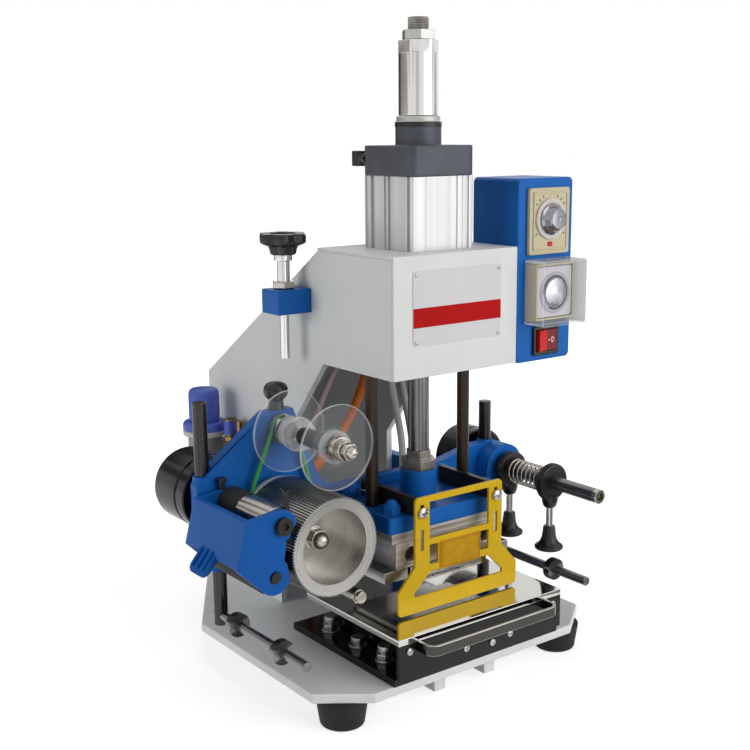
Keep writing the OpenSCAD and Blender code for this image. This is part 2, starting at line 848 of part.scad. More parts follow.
module air_regulator() {
    bracket_w = 20;
    color("lightslategray") difference() {
        union() {
            rod_z(reg_body_d, reg_z, reg_ring_z, reg_x, reg_y);
            rod_z(reg_ring_d, reg_ring_z, reg_top, reg_x, reg_y);
            block([reg_x, reg_y - bracket_w / 2, reg_z + 10], [-head_w / 2, reg_y + bracket_w / 2, reg_z + 34]);
        }
        rod_z(reg_stem_d + 2 * run, reg_top - reg_stem_h - gap, reg_top + 1, reg_x, reg_y);
    }
}

module regulator_knob() {
    color("royalblue") {
        rod_z(reg_knob_d, reg_top + gap, reg_top + reg_knob_h, reg_x, reg_y);
        rod_z(reg_stem_d, reg_top - reg_stem_h, reg_top + gap, reg_x, reg_y);
    }
}

module clamp_block() {
    color("royalblue") difference() {
        block([clamp_x, clamp_y[0], clamp_z], [-head_w / 2, clamp_y[1], clamp_z + clamp_h]);
        rod_z(star_stem_d + 2 * run, clamp_z - 1, clamp_z + clamp_h + 1, star_x, star_y);
    }
}

module star_screw() {
    lobe = star_d * 0.15;
    color("black") difference() {
        union() {
            rod_z(star_d - 3 * lobe, star_z, star_z + star_h, star_x, star_y);
            for (a = [0 : 60 : 300])
                rod_z(2 * lobe, star_z + 3, star_z + star_h, star_x + (star_d / 2 - lobe) * cos(a),
                    star_y + (star_d / 2 - lobe) * sin(a));
            rod_z(star_stem_d, clamp_z, star_z, star_x, star_y);
            rod_z(star_stem_d - 3.5, clamp_z - 44, clamp_z, star_x, star_y);
        }
        rod_z(star_d / 2, star_z + star_h - 3, star_z + star_h + 1, star_x, star_y);
    }
}

module arm_knob() {
    neck_h = 8;
    color("black") {
        rod_z(arm_knob_d - 5, arm_top + gap, arm_top + neck_h, knob_x, knob_y);
        rod_z(arm_knob_d, arm_top + neck_h, arm_top + arm_knob_h, knob_x, knob_y);
        rod_z(knob_stem_d, arm_top - knob_stem_l, arm_top + gap, knob_x, knob_y);
    }
}

module solenoid_valve() {
    half = valve_size[0] / 2;
    front = hose_end_y - 12;
    rear = front + valve_size[1];
    color("dimgray") {
        block([-half, front, base_top], [half, rear, valve_top]);
        block([-half / 2, front + coil_back, valve_top], [half / 2, rear, valve_top + coil_h]);
    }
}

module hoses_and_leads() {
    thin = hose_d - 2;
    color("darkorange") hose(orange_route, hose_d, 3);
    color("rosybrown") hose(upper_route, thin, 2);
    color("gray") {
        hose(lead_route, thin, 2);
        translate(second_lead) hose(lead_route, thin, 2);
    }
}

// foil arm and what it carries

module arm_outline() {
    polygon([[post_left_x - 10, pivot_z - 20], [post_left_x - 10, pivot_z + 18],
        [post_left_x - 5, pivot_z + 24], [rewind_x - 15, arm_top], [rewind_x + 15, arm_top],
        [rewind_x + 43, arm_mid_top + 12],
        [rewind_x + 61, arm_mid_top], [68, arm_mid_top], [supply_x - 25, arm_mid_top + 11],
        [supply_x, supply_z + arm_boss_r], [supply_x, supply_z - arm_boss_r], [100, supply_z - 22],
        [60, supply_z - 24], [-60, feed_z - 40], [roller_pin_x + 10, roller_pin_z - 6],
        [roller_pin_x - 10, roller_pin_z - 6], [feed_x - 20, feed_z - 42], [post_low_x - 8, feed_z - 14]]);
    translate([supply_x, supply_z]) circle(arm_boss_r);
    translate([roller_pin_x, roller_pin_z]) circle(12);
}

module foil_arm() {
    color("royalblue") difference() {
        union() {
            slab_xz(arm_front, arm_back) arm_outline();
            rod_y(2 * arm_boss_r, arm_boss_front, arm_front, supply_x, supply_z);
            for (s = [0, 1]) mirror([s, 0, 0])
                block([head_w / 2, arm_back, arm_rib_z],
                    [head_w / 2 + arm_rib_t, arm_rib_rear, arm_rib_z + arm_rib_h]);
            rod_z(post_d + 2 * post_wall, post_left_z - post_depth - 8, post_left_z, post_left_x, post_y);
            rod_z(post_d + 2 * post_wall, post_low_z, post_low_z + post_depth + 8, post_low_x, post_y);
            rod_z(post_d + 2 * post_wall, post_right_z - 8, post_right_z, post_right_x, post_y);
        }
        rod_y(feed_shaft_d + 2 * run, arm_front - 1, arm_back + 1, feed_x, feed_z);
        rod_y(rewind_shaft_d + 2 * run, arm_front - 1, arm_back + 1, rewind_x, rewind_z);
        rod_y(axle_d + 2 * run, arm_front - 1, arm_back + 1, pivot_x, pivot_z);
        rod_y(supply_rear_d + 2 * run, arm_boss_front - 1, arm_back + 1, supply_x, supply_z);
        rod_y(roller_pin_d + 2 * fit, arm_front - 1, arm_back + 1, roller_pin_x, roller_pin_z);
        rod_z(knob_stem_d + 2 * run, arm_top - knob_stem_l - gap, arm_top + 1, knob_x, knob_y);
        rod_z(post_d + 2 * fit, post_left_z - post_depth, post_left_top, post_left_x, post_y);
        rod_z(post_d + 2 * fit, foil_rod_z, post_low_z + post_depth, post_low_x, post_y);
        rod_z(post_d + 2 * fit, post_right_z - 13, post_right_top, post_right_x, post_y);
        rod_z(post_d + 2 * fit, foil_rod_z, post_right_low, post_right_x, post_y);
        for (s = [0, 1], z = arm_bolt_zs) mirror([s, 0, 0])
            rod_x(arm_bolt_d + 2 * fit, head_w / 2 - 1, head_w / 2 + arm_rib_t + 1, arm_bolt_y, z);
    }
}

module frame_bolts() {
    out = head_w / 2 + arm_rib_t;
    bolt_head = 5;
    bolt_head_h = 6;
    color("silver") for (s = [0, 1]) mirror([s, 0, 0]) {
        for (z = arm_bolt_zs) {
            rod_x(arm_bolt_d, head_inner, out, arm_bolt_y, z);
            rod_x(arm_bolt_d + bolt_head, out, out + bolt_head_h, arm_bolt_y, z);
        }
        for (y = bolt_ys) {
            proud = bed_top + (y == bolt_ys[1] ? 3 : 9);
            rod_z(bolt_d, base_top, proud, bolt_x, y);
            rod_z(bolt_d + bolt_head, proud, proud + bolt_head_h, bolt_x, y);
        }
    }
}

module drive_motors() {
    neck_d = 17;
    end_l = 12;
    end_cap = 5;
    color("black") {
        rod_y(neck_d, arm_back, motor_y[0], pivot_x, pivot_z);
        rod_y(motor_d, motor_y[0], motor_y[1] - end_l, pivot_x, pivot_z);
        rod_y(motor_d - 10, motor_y[1] - end_l, motor_y[1] - end_cap, pivot_x, pivot_z);
        rod_y(motor_d - 26, motor_y[1] - end_cap, motor_y[1], pivot_x, pivot_z);
        rod_y(neck_d, arm_back, motor_y[0], supply_x, supply_z);
        rod_y(motor_d - 2, motor_y[0], supply_motor_end - end_cap, supply_x, supply_z);
        rod_y(motor_d - 16, supply_motor_end - end_cap, supply_motor_end, supply_x, supply_z);
    }
}

// the round the belt runs, widened or narrowed by an amount
module belt_path(extra) {
    span = norm([rewind_x - feed_x, rewind_z - feed_z]);
    turn = atan2(rewind_z - feed_z, rewind_x - feed_x);
    lean = acos((belt_r1 - belt_r2) / span);
    r1 = belt_r1 + extra;
    r2 = belt_r2 + extra;
    translate([feed_x, feed_z]) rotate(turn) {
        circle(r1);
        translate([span, 0]) circle(r2);
        polygon([[r1 * cos(lean), r1 * sin(lean)], [span + r2 * cos(lean), r2 * sin(lean)],
            [span + r2 * cos(lean), -r2 * sin(lean)], [r1 * cos(lean), -r1 * sin(lean)]]);
    }
}

module drive_belt() {
    color("limegreen") slab_xz(groove_y - belt_t / 2, groove_y + belt_t / 2) difference() {
        belt_path(belt_t / 2);
        belt_path(-belt_t / 2);
    }
}

module foil_posts() {
    under = 9;
    color("silver") {
        rod_z(post_d, post_left_z - post_depth, post_left_top, post_left_x, post_y);
        rod_z(post_d, post_right_z - 13, post_right_top, post_right_x, post_y);
        for (p = [[post_low_x, post_low_z + post_depth], [post_right_x, post_right_low]]) difference() {
            rod_z(post_d, foil_rod_z - under, p[1], p[0], post_y);
            rod_y(foil_rod_d + 2 * fit, post_y - post_d, post_y + post_d, p[0], foil_rod_z);
        }
    }
}

// a set collar on a lower guide rod
module rod_collar(x, y) {
    difference() {
        rod_y(foil_collar_d, y - 4, y + 4, x, foil_rod_z);
        rod_y(foil_rod_d + 2 * fit, y - 5, y + 5, x, foil_rod_z);
    }
}

module foil_rods() {
    rear = post_y + post_d / 2 + 2;
    color("dimgray") {
        rod_y(foil_rod_d, -foil_rod_left_front, rear, post_low_x, foil_rod_z);
        rod_y(foil_rod_d, -foil_rod_right_front, rear, post_right_x, foil_rod_z);
        rod_collar(post_low_x, 30);
        rod_collar(post_low_x, -44);
        rod_collar(post_right_x, -46);
        rod_y(roller_pin_d, -roller_front, arm_back, roller_pin_x, roller_pin_z);
        rod_y(guide_roller_d - 2, -roller_front - 4, -roller_front, roller_pin_x, roller_pin_z);
    }
}

module guide_roller() {
    color("goldenrod") difference() {
        rod_y(guide_roller_d, -roller_front + gap, arm_front - gap, roller_pin_x, roller_pin_z);
        rod_y(roller_pin_d + 2 * run, -roller_front - 1, arm_front + 1, roller_pin_x, roller_pin_z);
    }
}

module feed_roller() {
    tip = 0.3;
    outline = [for (i = [0 : feed_teeth - 1], k = [0 : 3])
        let (a = 360 / feed_teeth * (i + [0, tip, 0.5, 0.5 + tip][k]), r = k < 2 ? feed_r : feed_root_r)
        [feed_x + r * cos(a), feed_z + r * sin(a)]];
    half = belt_t / 2;
    rim_y = groove_y + half + gap;
    rim_d = 2 * (belt_r1 + half);
    color("silver") difference() {
        union() {
            slab_xz(-feed_front, feed_teeth_end) polygon(outline);
            rod_y(2 * groove_r1, feed_teeth_end, rim_y + belt_rim, feed_x, feed_z);
            rod_y(rim_d, feed_teeth_end, groove_y - half - gap, feed_x, feed_z);
            rod_y(rim_d, rim_y, rim_y + belt_rim, feed_x, feed_z);
        }
        rod_y(feed_hollow_d, -feed_front - 1, -feed_front + feed_hollow_l, feed_x, feed_z);
        rod_y(feed_shaft_d + 2 * fit, -feed_front, arm_front, feed_x, feed_z);
    }
}

module feed_shaft() {
    web = -feed_front + feed_hollow_l;
    washer_t = 3;
    nut_t = 8;
    nut_d = 19;
    color("silver") {
        rod_y(feed_shaft_d, web, arm_back + gap, feed_x, feed_z);
        rod_y(feed_shaft_d + 8, arm_back + gap, arm_back + 6, feed_x, feed_z);
        rod_y(feed_shaft_d + 6, web - washer_t, web, feed_x, feed_z);
        translate([feed_x, web - washer_t - nut_t, feed_z]) rotate([-90, 0, 0])
            cylinder(d = nut_d, h = nut_t, $fn = 6);
        translate([feed_x, web - washer_t - nut_t, feed_z]) sphere(d = nut_d - 3);
    }
}

module rewind_discs() {
    color("lightcyan") for (y = disc_ys) difference() {
        rod_y(disc_d, y, y + disc_t, rewind_x, rewind_z);
        rod_y(disc_bore_d + 2 * fit, y - 1, y + disc_t + 1, rewind_x, rewind_z);
    }
}

module rewind_shaft() {
    half = belt_t / 2;
    front = disc_ys[0];
    rear = disc_ys[1];
    hub_d = 28;
    nut_y = front - 18;
    color("silver") {
        rod_y(disc_bore_d, front - 10, rear + disc_t + 1, rewind_x, rewind_z);
        rod_y(hub_d + 2, front + disc_t, front + disc_t + 6, rewind_x, rewind_z);
        rod_y(hub_d - 6, front - 6, front, rewind_x, rewind_z);
        rod_y(hub_d, rear - 22, rear, rewind_x, rewind_z);
        rod_y(hub_d + 4, rear - 14, rear - 10, rewind_x, rewind_z);
        rod_y(hub_d, rear + disc_t, groove_y - half - gap, rewind_x, rewind_z);
        rod_y(2 * groove_r2, groove_y - half - gap, groove_y + half + gap, rewind_x, rewind_z);
        rod_y(hub_d, groove_y + half + gap, groove_y + half + gap + belt_rim, rewind_x, rewind_z);
        rod_y(rewind_shaft_d, groove_y, arm_back + gap, rewind_x, rewind_z);
        rod_y(rewind_shaft_d + 8, arm_back + gap, arm_back + 6, rewind_x, rewind_z);
        translate([rewind_x, nut_y, rewind_z]) rotate([-90, 0, 0]) cylinder(d = 17, h = 8, $fn = 6);
        translate([rewind_x, nut_y, rewind_z]) sphere(d = 14);
    }
}

// nip bracket and its rollers

module cheek_outline() {
    difference() {
        union() {
            polygon([web_top, web_low, [nip_x - 12, nip_z - 10.5], [nip_x, nip_z - nip_boss_r],
                [nip_x + 8, nip_z], [pivot_x + 6, pivot_z], [pivot_x, pivot_z + pivot_boss_r]]);
            translate([nip_x, nip_z]) circle(nip_boss_r);
            translate([pivot_x, pivot_z]) circle(pivot_boss_r);
        }
        translate([feed_x, feed_z]) circle(feed_r + 3);
    }
}

module nip_bracket() {
    color("royalblue") difference() {
        union() {
            slab_xz(-cheek_front, -cheek_front + cheek_t) cheek_outline();
            slab_xz(cheek_rear - cheek_t, cheek_rear) cheek_outline();
            slab_xz(-cheek_front, cheek_rear)
                polygon([web_top, web_low, web_low + [web_t, 0], web_top + [web_t, 0]]);
            translate([tab_root[0], tab_y, tab_root[1]]) rotate([0, tab_lean, 0]) slab_yz(-tab_t / 2, tab_t / 2)
                translate([0, tab_over / 2 - tab_l / 2]) round_rect(tab_w, tab_l + tab_over, tab_r);
        }
        for (y = [-cheek_front, cheek_rear - cheek_t]) {
            rod_y(axle_d + 2 * run, y - 1, y + cheek_t + 1, pivot_x, pivot_z);
            rod_y(axle_d + 2 * run, y - 1, y + cheek_t + 1, nip_x, nip_z);
        }
    }
}

module drive_roller() {
    in = -cheek_front + cheek_t + gap;
    out = cheek_rear - cheek_t - gap;
    color("silver") {
        rod_y(axle_d, -cheek_front - gap, arm_back, pivot_x, pivot_z);
        rod_y(drive_roller_d, in, out, pivot_x, pivot_z);
        difference() {
            rod_y(axle_d + 6, -cheek_front - gap - 5, -cheek_front - gap, pivot_x, pivot_z);
            translate([pivot_x, -cheek_front - gap - 6, pivot_z]) rotate([-90, 0, 0])
                cylinder(d = 7, h = 4, $fn = 6);
        }
    }
}

module nip_roller() {
    in = -cheek_front + cheek_t + gap;
    out = cheek_rear - cheek_t - gap;
    color("black") {
        rod_y(axle_d, -cheek_front - 2, cheek_rear, nip_x, nip_z);
        rod_y(nip_d, in, out, nip_x, nip_z);
    }
}

// foil supply

module supply_shaft() {
    color("dimgray") difference() {
        union() {
            rod_y(supply_d, -supply_front, spindle_end, supply_x, supply_z);
            rod_y(supply_rear_d, spindle_end, arm_back, supply_x, supply_z);
        }
        rod_y(supply_d / 2, -supply_front - 1, -supply_front + 12, supply_x, supply_z);
    }
}

module supply_collars() {
    color("black") for (y = collar_ys) difference() {
        union() {
            rod_y(collar_d, y - collar_w / 2, y + 2, supply_x, supply_z);
            rod_y(collar_d - 6, y + 2, y + collar_w / 2, supply_x, supply_z);
        }
        rod_y(supply_rear_d + 2 * fit, y - collar_w, y + collar_w, supply_x, supply_z);
        rod_z(thumb_stem_d + 2 * fit, supply_z - collar_d, supply_z, supply_x, y);
    }
}

// the wire's middle line: straight ends along the shaft and turns between them
spring_y0 = collar_ys[1] - collar_w / 2;
spring_y1 = collar_ys[0] + collar_w / 2;
spring_steps = 8 * spring_turns;
spring_pitch = (spring_y0 - spring_y1 - 2 * spring_wire) / spring_turns;
spring_angles = concat([0], [for (i = [0 : spring_steps]) 360 * i / 8], [360 * spring_turns]);
spring_across = [for (a = spring_angles) [cos(a), 0, sin(a)]];
spring_depths = concat([spring_y0],
    [for (i = [0 : spring_steps]) spring_y0 - spring_wire - spring_pitch * i / 8], [spring_y1]);
spring_line = [for (i = [0 : len(spring_angles) - 1])
    [supply_x, spring_depths[i], supply_z] + spring_d / 2 * spring_across[i]];
spring_gap = min([for (i = [0 : len(spring_line) - 6], j = [i + 5 : len(spring_line) - 1])
    norm(spring_line[j] - spring_line[i])]) - spring_wire;

module supply_spring() {
    echo("least gap between the turns of the brake spring", spring_gap);
    color("silver") sweep(spring_line, spring_across, spring_wire / 2, 6);
}

module thumb_screws() {
    tip = supply_rear_d / 2 + gap;
    knob = thumb_len - thumb_knob_h;
    color("black") for (y = collar_ys) translate([supply_x, y, supply_z]) {
        translate([0, 0, -knob]) cylinder(d = thumb_stem_d, h = knob - tip);
        translate([0, 0, -knob]) rotate([180, 0, 0]) {
            cylinder(d1 = 12, d2 = 15, h = thumb_knob_h - 12);
            translate([0, 0, thumb_knob_h - 12]) cylinder(d1 = 15, d2 = thumb_knob_d, h = 8);
            translate([0, 0, thumb_knob_h - 4]) cylinder(d = thumb_knob_d, h = 4);
        }
    }
}

// press head

module piston_rod() {
    piston_z = head_top + 0.5;
    color("silver") {
        rod_z(rod_d, head_plate_top + 1, piston_z, 0, 0);
        rod_z(bore_d - 2 * run, piston_z, piston_z + piston_t, 0, 0);
        rod_z(rear_rod_d, piston_z + piston_t, stud_top, 0, 0);
    }
}

module adjuster_sleeve() {
    flats = 11;
    flat_x = sleeve_d / 2 * 0.91;
    color("silver") difference() {
        rod_z(sleeve_d, sleeve_z, sleeve_top, 0, 0);
        rod_z(rear_rod_d + 2 * run, sleeve_z - 1, sleeve_top + 1, 0, 0);
        for (a = [0 : 60 : 300]) rotate(a)
            block([flat_x, -sleeve_d, sleeve_top - flats], [sleeve_d, sleeve_d, sleeve_top + 1]);
    }
}

module head_fasteners() {
    guard_face = -guard_back - guard_t;
    color("silver") {
        difference() {
            hex_z(lock_nut_af, lock_nut_z, lock_nut_z + lock_nut_h, 0, 0);
            rod_z(rear_rod_d + 2 * fit, lock_nut_z - 1, lock_nut_z + lock_nut_h + 1, 0, 0);
        }
        difference() {
            hex_z(rod_nut_af, boss_top, rod_nut_top, 0, 0);
            rod_z(rod_d + 2 * fit, boss_top - 1, rod_nut_top + 1, 0, 0);
        }
        for (s = [-1, 1]) {
            rod_y(guard_screw_d + 6, guard_face - 3, guard_face, s * guard_arm_x, guard_slot_z);
            rod_y(guard_screw_d, guard_face, -guard_back + 10, s * guard_arm_x, guard_slot_z);
        }
    }
}

module press_guide_rods() {
    color("dimgray") for (s = [-1, 1]) rod_z(guide_d, head_plate_z, guide_top, s * guide_x, 0);
}

module head_plate() {
    color("royalblue") difference() {
        union() {
            translate([0, 0, head_plate_z]) linear_extrude(head_plate_t)
                round_rect(head_plate_w, 2 * head_plate_front, 5);
            rod_z(boss_d, head_plate_top, boss_top, 0, 0);
            for (sx = [-1, 1], sy = [-1, 1]) {
                hex_z(2 * dome_r, head_plate_top, head_plate_top + 8, sx * dome_x, sy * dome_y);
                translate([sx * dome_x, sy * dome_y, head_plate_top + 7]) sphere(dome_r - 1.5);
            }
        }
        rod_z(rod_d + 2 * fit, head_plate_top, boss_top + 1, 0, 0);
        for (s = [-1, 1]) rod_z(guide_d + 2 * fit, head_plate_z - 1, head_plate_top + 1, s * guide_x, 0);
    }
}

module insulation_plate() {
    color("lightgray") block([-heater_w / 2 - 3.5, -die_front + 2, insulation_z],
        [heater_w / 2 + 3.5, die_front - 2, head_plate_z]);
}

module heater_block() {
    color("silver") difference() {
        block([-heater_w / 2, -die_front, heater_z], [heater_w / 2, die_front, insulation_z]);
        for (s = [-1, 1])
            rod_y(cartridge_d + 2 * fit, -die_front - 1, die_front + 1, s * cartridge_span / 2, cartridge_z);
    }
}

module heater_cartridges() {
    color("dimgray") for (s = [-1, 1])
        rod_y(cartridge_d, -die_front + 6, die_front, s * cartridge_span / 2, cartridge_z);
}

module die_rails() {
    color("silver") for (s = [0, 1]) mirror([s, 0, 0])
        block([die_w / 2 + 2, -die_front, heater_z - die_rail_t], [die_rail_span / 2, die_front, heater_z]);
}

module die_plate() {
    color("silver") block([-die_w / 2, -die_front - 1, die_z], [die_w / 2, die_front, heater_z]);
}

module guard_arms() {
    color("dimgray") for (s = [-1, 1]) difference() {
        block([s * guard_arm_x - guard_arm_t / 2, -guard_back, head_plate_top],
            [s * guard_arm_x + guard_arm_t / 2, guard_arm_rear, head_plate_top + guard_arm_h]);
        rod_y(guard_screw_d + 2 * fit, -guard_back - 1, -guard_back + 11, s * guard_arm_x, guard_slot_z);
        rod_z(guide_d + 2 * arm_relief, head_plate_top - 1, head_plate_top + guard_arm_h + 1, s * guide_x, 0);
    }
}

// half of the guard's outline and windows, drawn up from its lower edge
module guard_half() {
    w = guard_w / 2;
    foot = guard_foot_w / 2;
    difference() {
        union() {
            polygon([[0, 0], [foot - 4, 0], [foot, 4], [foot, 23], [w, 44],
                [w, guard_h - 5], [w - 5, guard_h], [0, guard_h]]);
            translate([w - 5, guard_h - 5]) circle(5);
            translate([foot - 4, 4]) circle(4);
        }
        polygon([[-1, 68], [w - 17, 68], [w - 17, guard_h - 6], [-1, guard_h - 6]]);
        polygon([[26, 43], [w - 17, 43], [w - 17, 62], [26, 62]]);
        polygon([[-1, 15], [54, 15], [54, 19], [w - 15, 34], [w - 18, 36], [-1, 36]]);
        translate([guard_arm_x - guard_screw_d / 2 - fit, guard_slot_z - guard_z - 5])
            square([guard_screw_d + 2 * fit, 12]);
        translate([guard_arm_x - 2, guard_h - 51]) square([4, 20]);
    }
}

module guard_plate() {
    plaque = [49, 27];
    color("gold") {
        slab_xz(-guard_back - guard_t, -guard_back) translate([0, guard_z]) {
            guard_half();
            mirror([1, 0]) guard_half();
        }
        slab_xz(-guard_back - guard_t - 1.5, -guard_back - guard_t)
            translate([0, guard_z + 50]) square(plaque, center = true);
    }
}

// table

module table_bed() {
    color("black") difference() {
        block([-bed_half, -bed_front, base_top], [bed_half, bed_rear, bed_top]);
        for (s = [-1, 1], y = bolt_ys) rod_z(bolt_d + 2 * fit, base_top - 1, bed_top + 1, s * bolt_x, y);
    }
}

module slide_rails() {
    color("silver") for (s = [-1, 1])
        block([s * rail_span / 2 - rail_w / 2, -bed_front + 4, bed_top],
            [s * rail_span / 2 + rail_w / 2, bed_rear - 4, rail_top]);
}

module table_top() {
    color("slategray")
        block([-table_w / 2, -table_front, table_bottom], [table_w / 2, table_rear, table_top_z]);
}

module table_carriage() {
    color("black") difference() {
        union() {
            block([-carriage_w / 2, -apron_back, bed_top + 3], [carriage_w / 2, table_rear - 4, table_bottom]);
            block([-table_w / 2, -table_front, apron_z], [table_w / 2, -apron_back, table_bottom]);
        }
        for (s = [-1, 1])
            block([s * rail_span / 2 - rail_w / 2 - gap, -apron_back, bed_top],
                [s * rail_span / 2 + rail_w / 2 + gap, table_rear, rail_top + gap]);
    }
}

module table_handle() {
    color("silver") translate([0, -table_front, handle_z - handle_h / 2]) linear_extrude(handle_h) difference() {
        round_rect(handle_w + handle_t, 2 * handle_reach + handle_t, handle_corner + handle_t / 2);
        round_rect(handle_w - handle_t, 2 * handle_reach - handle_t, handle_corner - handle_t / 2);
        translate([-handle_w, 0]) square(2 * handle_w);
    }
}

// shifts a drawn part into the machine's own frame
module in_frame() {
    translate([frame_x, frame_y, 0]) children();
}

in_frame() base_plate();
in_frame() rubber_feet();
in_frame() side_plates();
in_frame() head_cover();
in_frame() head_floor();
in_frame() guide_bushes();
in_frame() rear_cover();
in_frame() cylinder_barrel();
in_frame() cylinder_caps();
in_frame() air_fittings();
in_frame() control_box();
in_frame() temperature_controller();
in_frame() timer_unit();
in_frame() switch_frame();
in_frame() air_regulator();
in_frame() clamp_block();
in_frame() foil_arm();
in_frame() frame_bolts();
in_frame() drive_motors();
in_frame() drive_belt();
in_frame() foil_posts();
in_frame() foil_rods();
in_frame() table_bed();
in_frame() slide_rails();
in_frame() solenoid_valve();
in_frame() hoses_and_leads();
in_frame() piston_rod();
in_frame() adjuster_sleeve();
in_frame() head_fasteners();
in_frame() press_guide_rods();
in_frame() head_plate();
in_frame() insulation_plate();
in_frame() heater_block();
in_frame() heater_cartridges();
in_frame() die_rails();
in_frame() die_plate();
in_frame() guard_arms();
in_frame() guard_plate();
in_frame() table_top();
in_frame() table_carriage();
in_frame() table_handle();
in_frame() star_screw();
in_frame() arm_knob();
in_frame() feed_roller();
in_frame() feed_shaft();
in_frame() rewind_discs();
in_frame() rewind_shaft();
in_frame() nip_bracket();
in_frame() drive_roller();
in_frame() nip_roller();
in_frame() guide_roller();
in_frame() supply_shaft();
in_frame() supply_collars();
in_frame() supply_spring();
in_frame() thumb_screws();
in_frame() temperature_knob();
in_frame() timer_knob();
in_frame() timer_cover();
in_frame() power_rocker();
in_frame() regulator_knob();
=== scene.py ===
"""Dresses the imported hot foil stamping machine: finishes, eased edges, fine parts, light and camera.

Lengths are in millimetres in the machine's own coordinates, with the press axis at x = 0, y = 0 and the
front towards -Y, and become metres in the shared frame through at().
"""

import json
import logging
import math
from dataclasses import dataclass, field, replace
from enum import Enum
from itertools import pairwise
from typing import Any, Callable, Sequence

import bpy
from mathutils import Matrix, Vector

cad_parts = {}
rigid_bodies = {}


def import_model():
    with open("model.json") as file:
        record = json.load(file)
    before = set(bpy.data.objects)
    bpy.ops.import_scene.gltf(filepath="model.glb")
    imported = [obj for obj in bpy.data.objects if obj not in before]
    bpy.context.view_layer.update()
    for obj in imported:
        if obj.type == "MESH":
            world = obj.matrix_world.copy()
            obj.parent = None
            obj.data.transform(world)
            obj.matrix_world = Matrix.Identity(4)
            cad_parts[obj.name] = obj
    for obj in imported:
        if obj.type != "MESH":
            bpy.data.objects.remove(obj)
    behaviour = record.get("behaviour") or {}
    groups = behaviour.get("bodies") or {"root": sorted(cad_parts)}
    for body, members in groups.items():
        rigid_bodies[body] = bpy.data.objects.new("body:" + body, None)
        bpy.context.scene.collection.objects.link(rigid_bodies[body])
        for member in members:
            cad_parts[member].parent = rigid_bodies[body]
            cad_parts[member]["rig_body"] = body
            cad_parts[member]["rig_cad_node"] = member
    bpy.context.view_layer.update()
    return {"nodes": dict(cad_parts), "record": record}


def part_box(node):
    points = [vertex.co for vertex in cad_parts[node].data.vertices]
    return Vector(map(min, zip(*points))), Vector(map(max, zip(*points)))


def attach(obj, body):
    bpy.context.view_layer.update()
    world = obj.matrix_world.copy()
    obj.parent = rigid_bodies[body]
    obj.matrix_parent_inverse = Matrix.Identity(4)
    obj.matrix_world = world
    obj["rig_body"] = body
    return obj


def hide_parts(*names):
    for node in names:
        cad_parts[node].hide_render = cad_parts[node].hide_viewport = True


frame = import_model()

LOG = logging.getLogger("foil_press")
Outline = Sequence[tuple[float, float]]
Route = Sequence[tuple[float, float, float]]
MM = 0.001
WELD = 1e-6
SHARP = math.radians(32)
TUBE_SHARP = math.radians(40)
FLAT_FACE = 0.95
CORNER_STEPS = 5
ROD_LOW, ROD_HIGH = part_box("press_guide_rods")
PRESS = (ROD_LOW + ROD_HIGH) / 2
SLOTS = {row["node"]: row["material_slot"] for row in frame["record"]["subparts"]}
BED_TOP, HEAD_TOP, HEAD_FRONT = 43.0, 411.0, 56.0
# axes that run along Y, as x and z
FEED = (-130.0, 160.0)
REWIND = (-123.0, 248.0)
PIVOT = (-182.0, 189.8)
SUPPLY = (143.5, 167.0)


def at(x: float, y: float, z: float) -> Vector:
    """Gives a machine point in the shared frame.

    Args:
        x, y, z: machine coordinates in millimetres.

    Returns:
        The point in metres.
    """
    return Vector((PRESS.x + x * MM, PRESS.y + y * MM, z * MM))


class Way(Enum):
    """The direction in which a drawn shape rises from its foot, as Euler angles."""

    UP = (0.0, 0.0, 0.0)
    DOWN = (math.pi, 0.0, 0.0)
    FRONT = (math.pi / 2, 0.0, 0.0)
    BACK = (-math.pi / 2, 0.0, 0.0)
    RIGHT = (0.0, math.pi / 2, 0.0)


class Grain(Enum):
    """How a surface was made, which sets the run of its fine marks."""

    PLAIN = "plain"
    BRUSHED_X = "brushed_x"
    BRUSHED_Y = "brushed_y"
    BRUSHED_Z = "brushed_z"
    TURNED_Y = "turned_y"
    TURNED_Z = "turned_z"
    LAYERED_Z = "layered_z"


# how far each run draws its marks out, as a scale on X, Y and Z
DRAWN_OUT = {Grain.BRUSHED_X: (0.006, 1.0, 1.0), Grain.BRUSHED_Y: (1.0, 0.006, 1.0),
             Grain.BRUSHED_Z: (1.0, 1.0, 0.006), Grain.LAYERED_Z: (0.04, 0.04, 1.0)}
# the lathe axis of each turned run, and what is left across it
LATHE = {Grain.TURNED_Y: ("Y", (1, 0, 1)), Grain.TURNED_Z: ("Z", (1, 1, 0))}


# outlines


def polar(radius: float, angle: float) -> tuple[float, float]:
    """Gives the point at a radius and at an angle in radians."""
    return radius * math.cos(angle), radius * math.sin(angle)


def spun(points: Outline, angle: float) -> list[tuple[float, float]]:
    """Turns an outline about its origin by an angle in radians."""
    c, s = polar(1.0, angle)
    return [(u * c - v * s, u * s + v * c) for u, v in points]


def circle(sides: int) -> Outline:
    """Gives a unit circle as an outline."""
    return [polar(1.0, 2 * math.pi * k / sides) for k in range(sides)]


def box_outline(width: float, height: float, corner: float) -> Outline:
    """Gives a rectangle with round corners.

    Args:
        width, height: its size.
        corner: the radius of its corners.

    Returns:
        The points, counter-clockwise.
    """
    points = []
    for quarter, (sx, sy) in enumerate(((1, 1), (-1, 1), (-1, -1), (1, -1))):
        for k in range(CORNER_STEPS + 1):
            u, v = polar(corner, math.pi / 2 * (quarter + k / CORNER_STEPS))
            points.append((sx * (width / 2 - corner) + u, sy * (height / 2 - corner) + v))
    return points


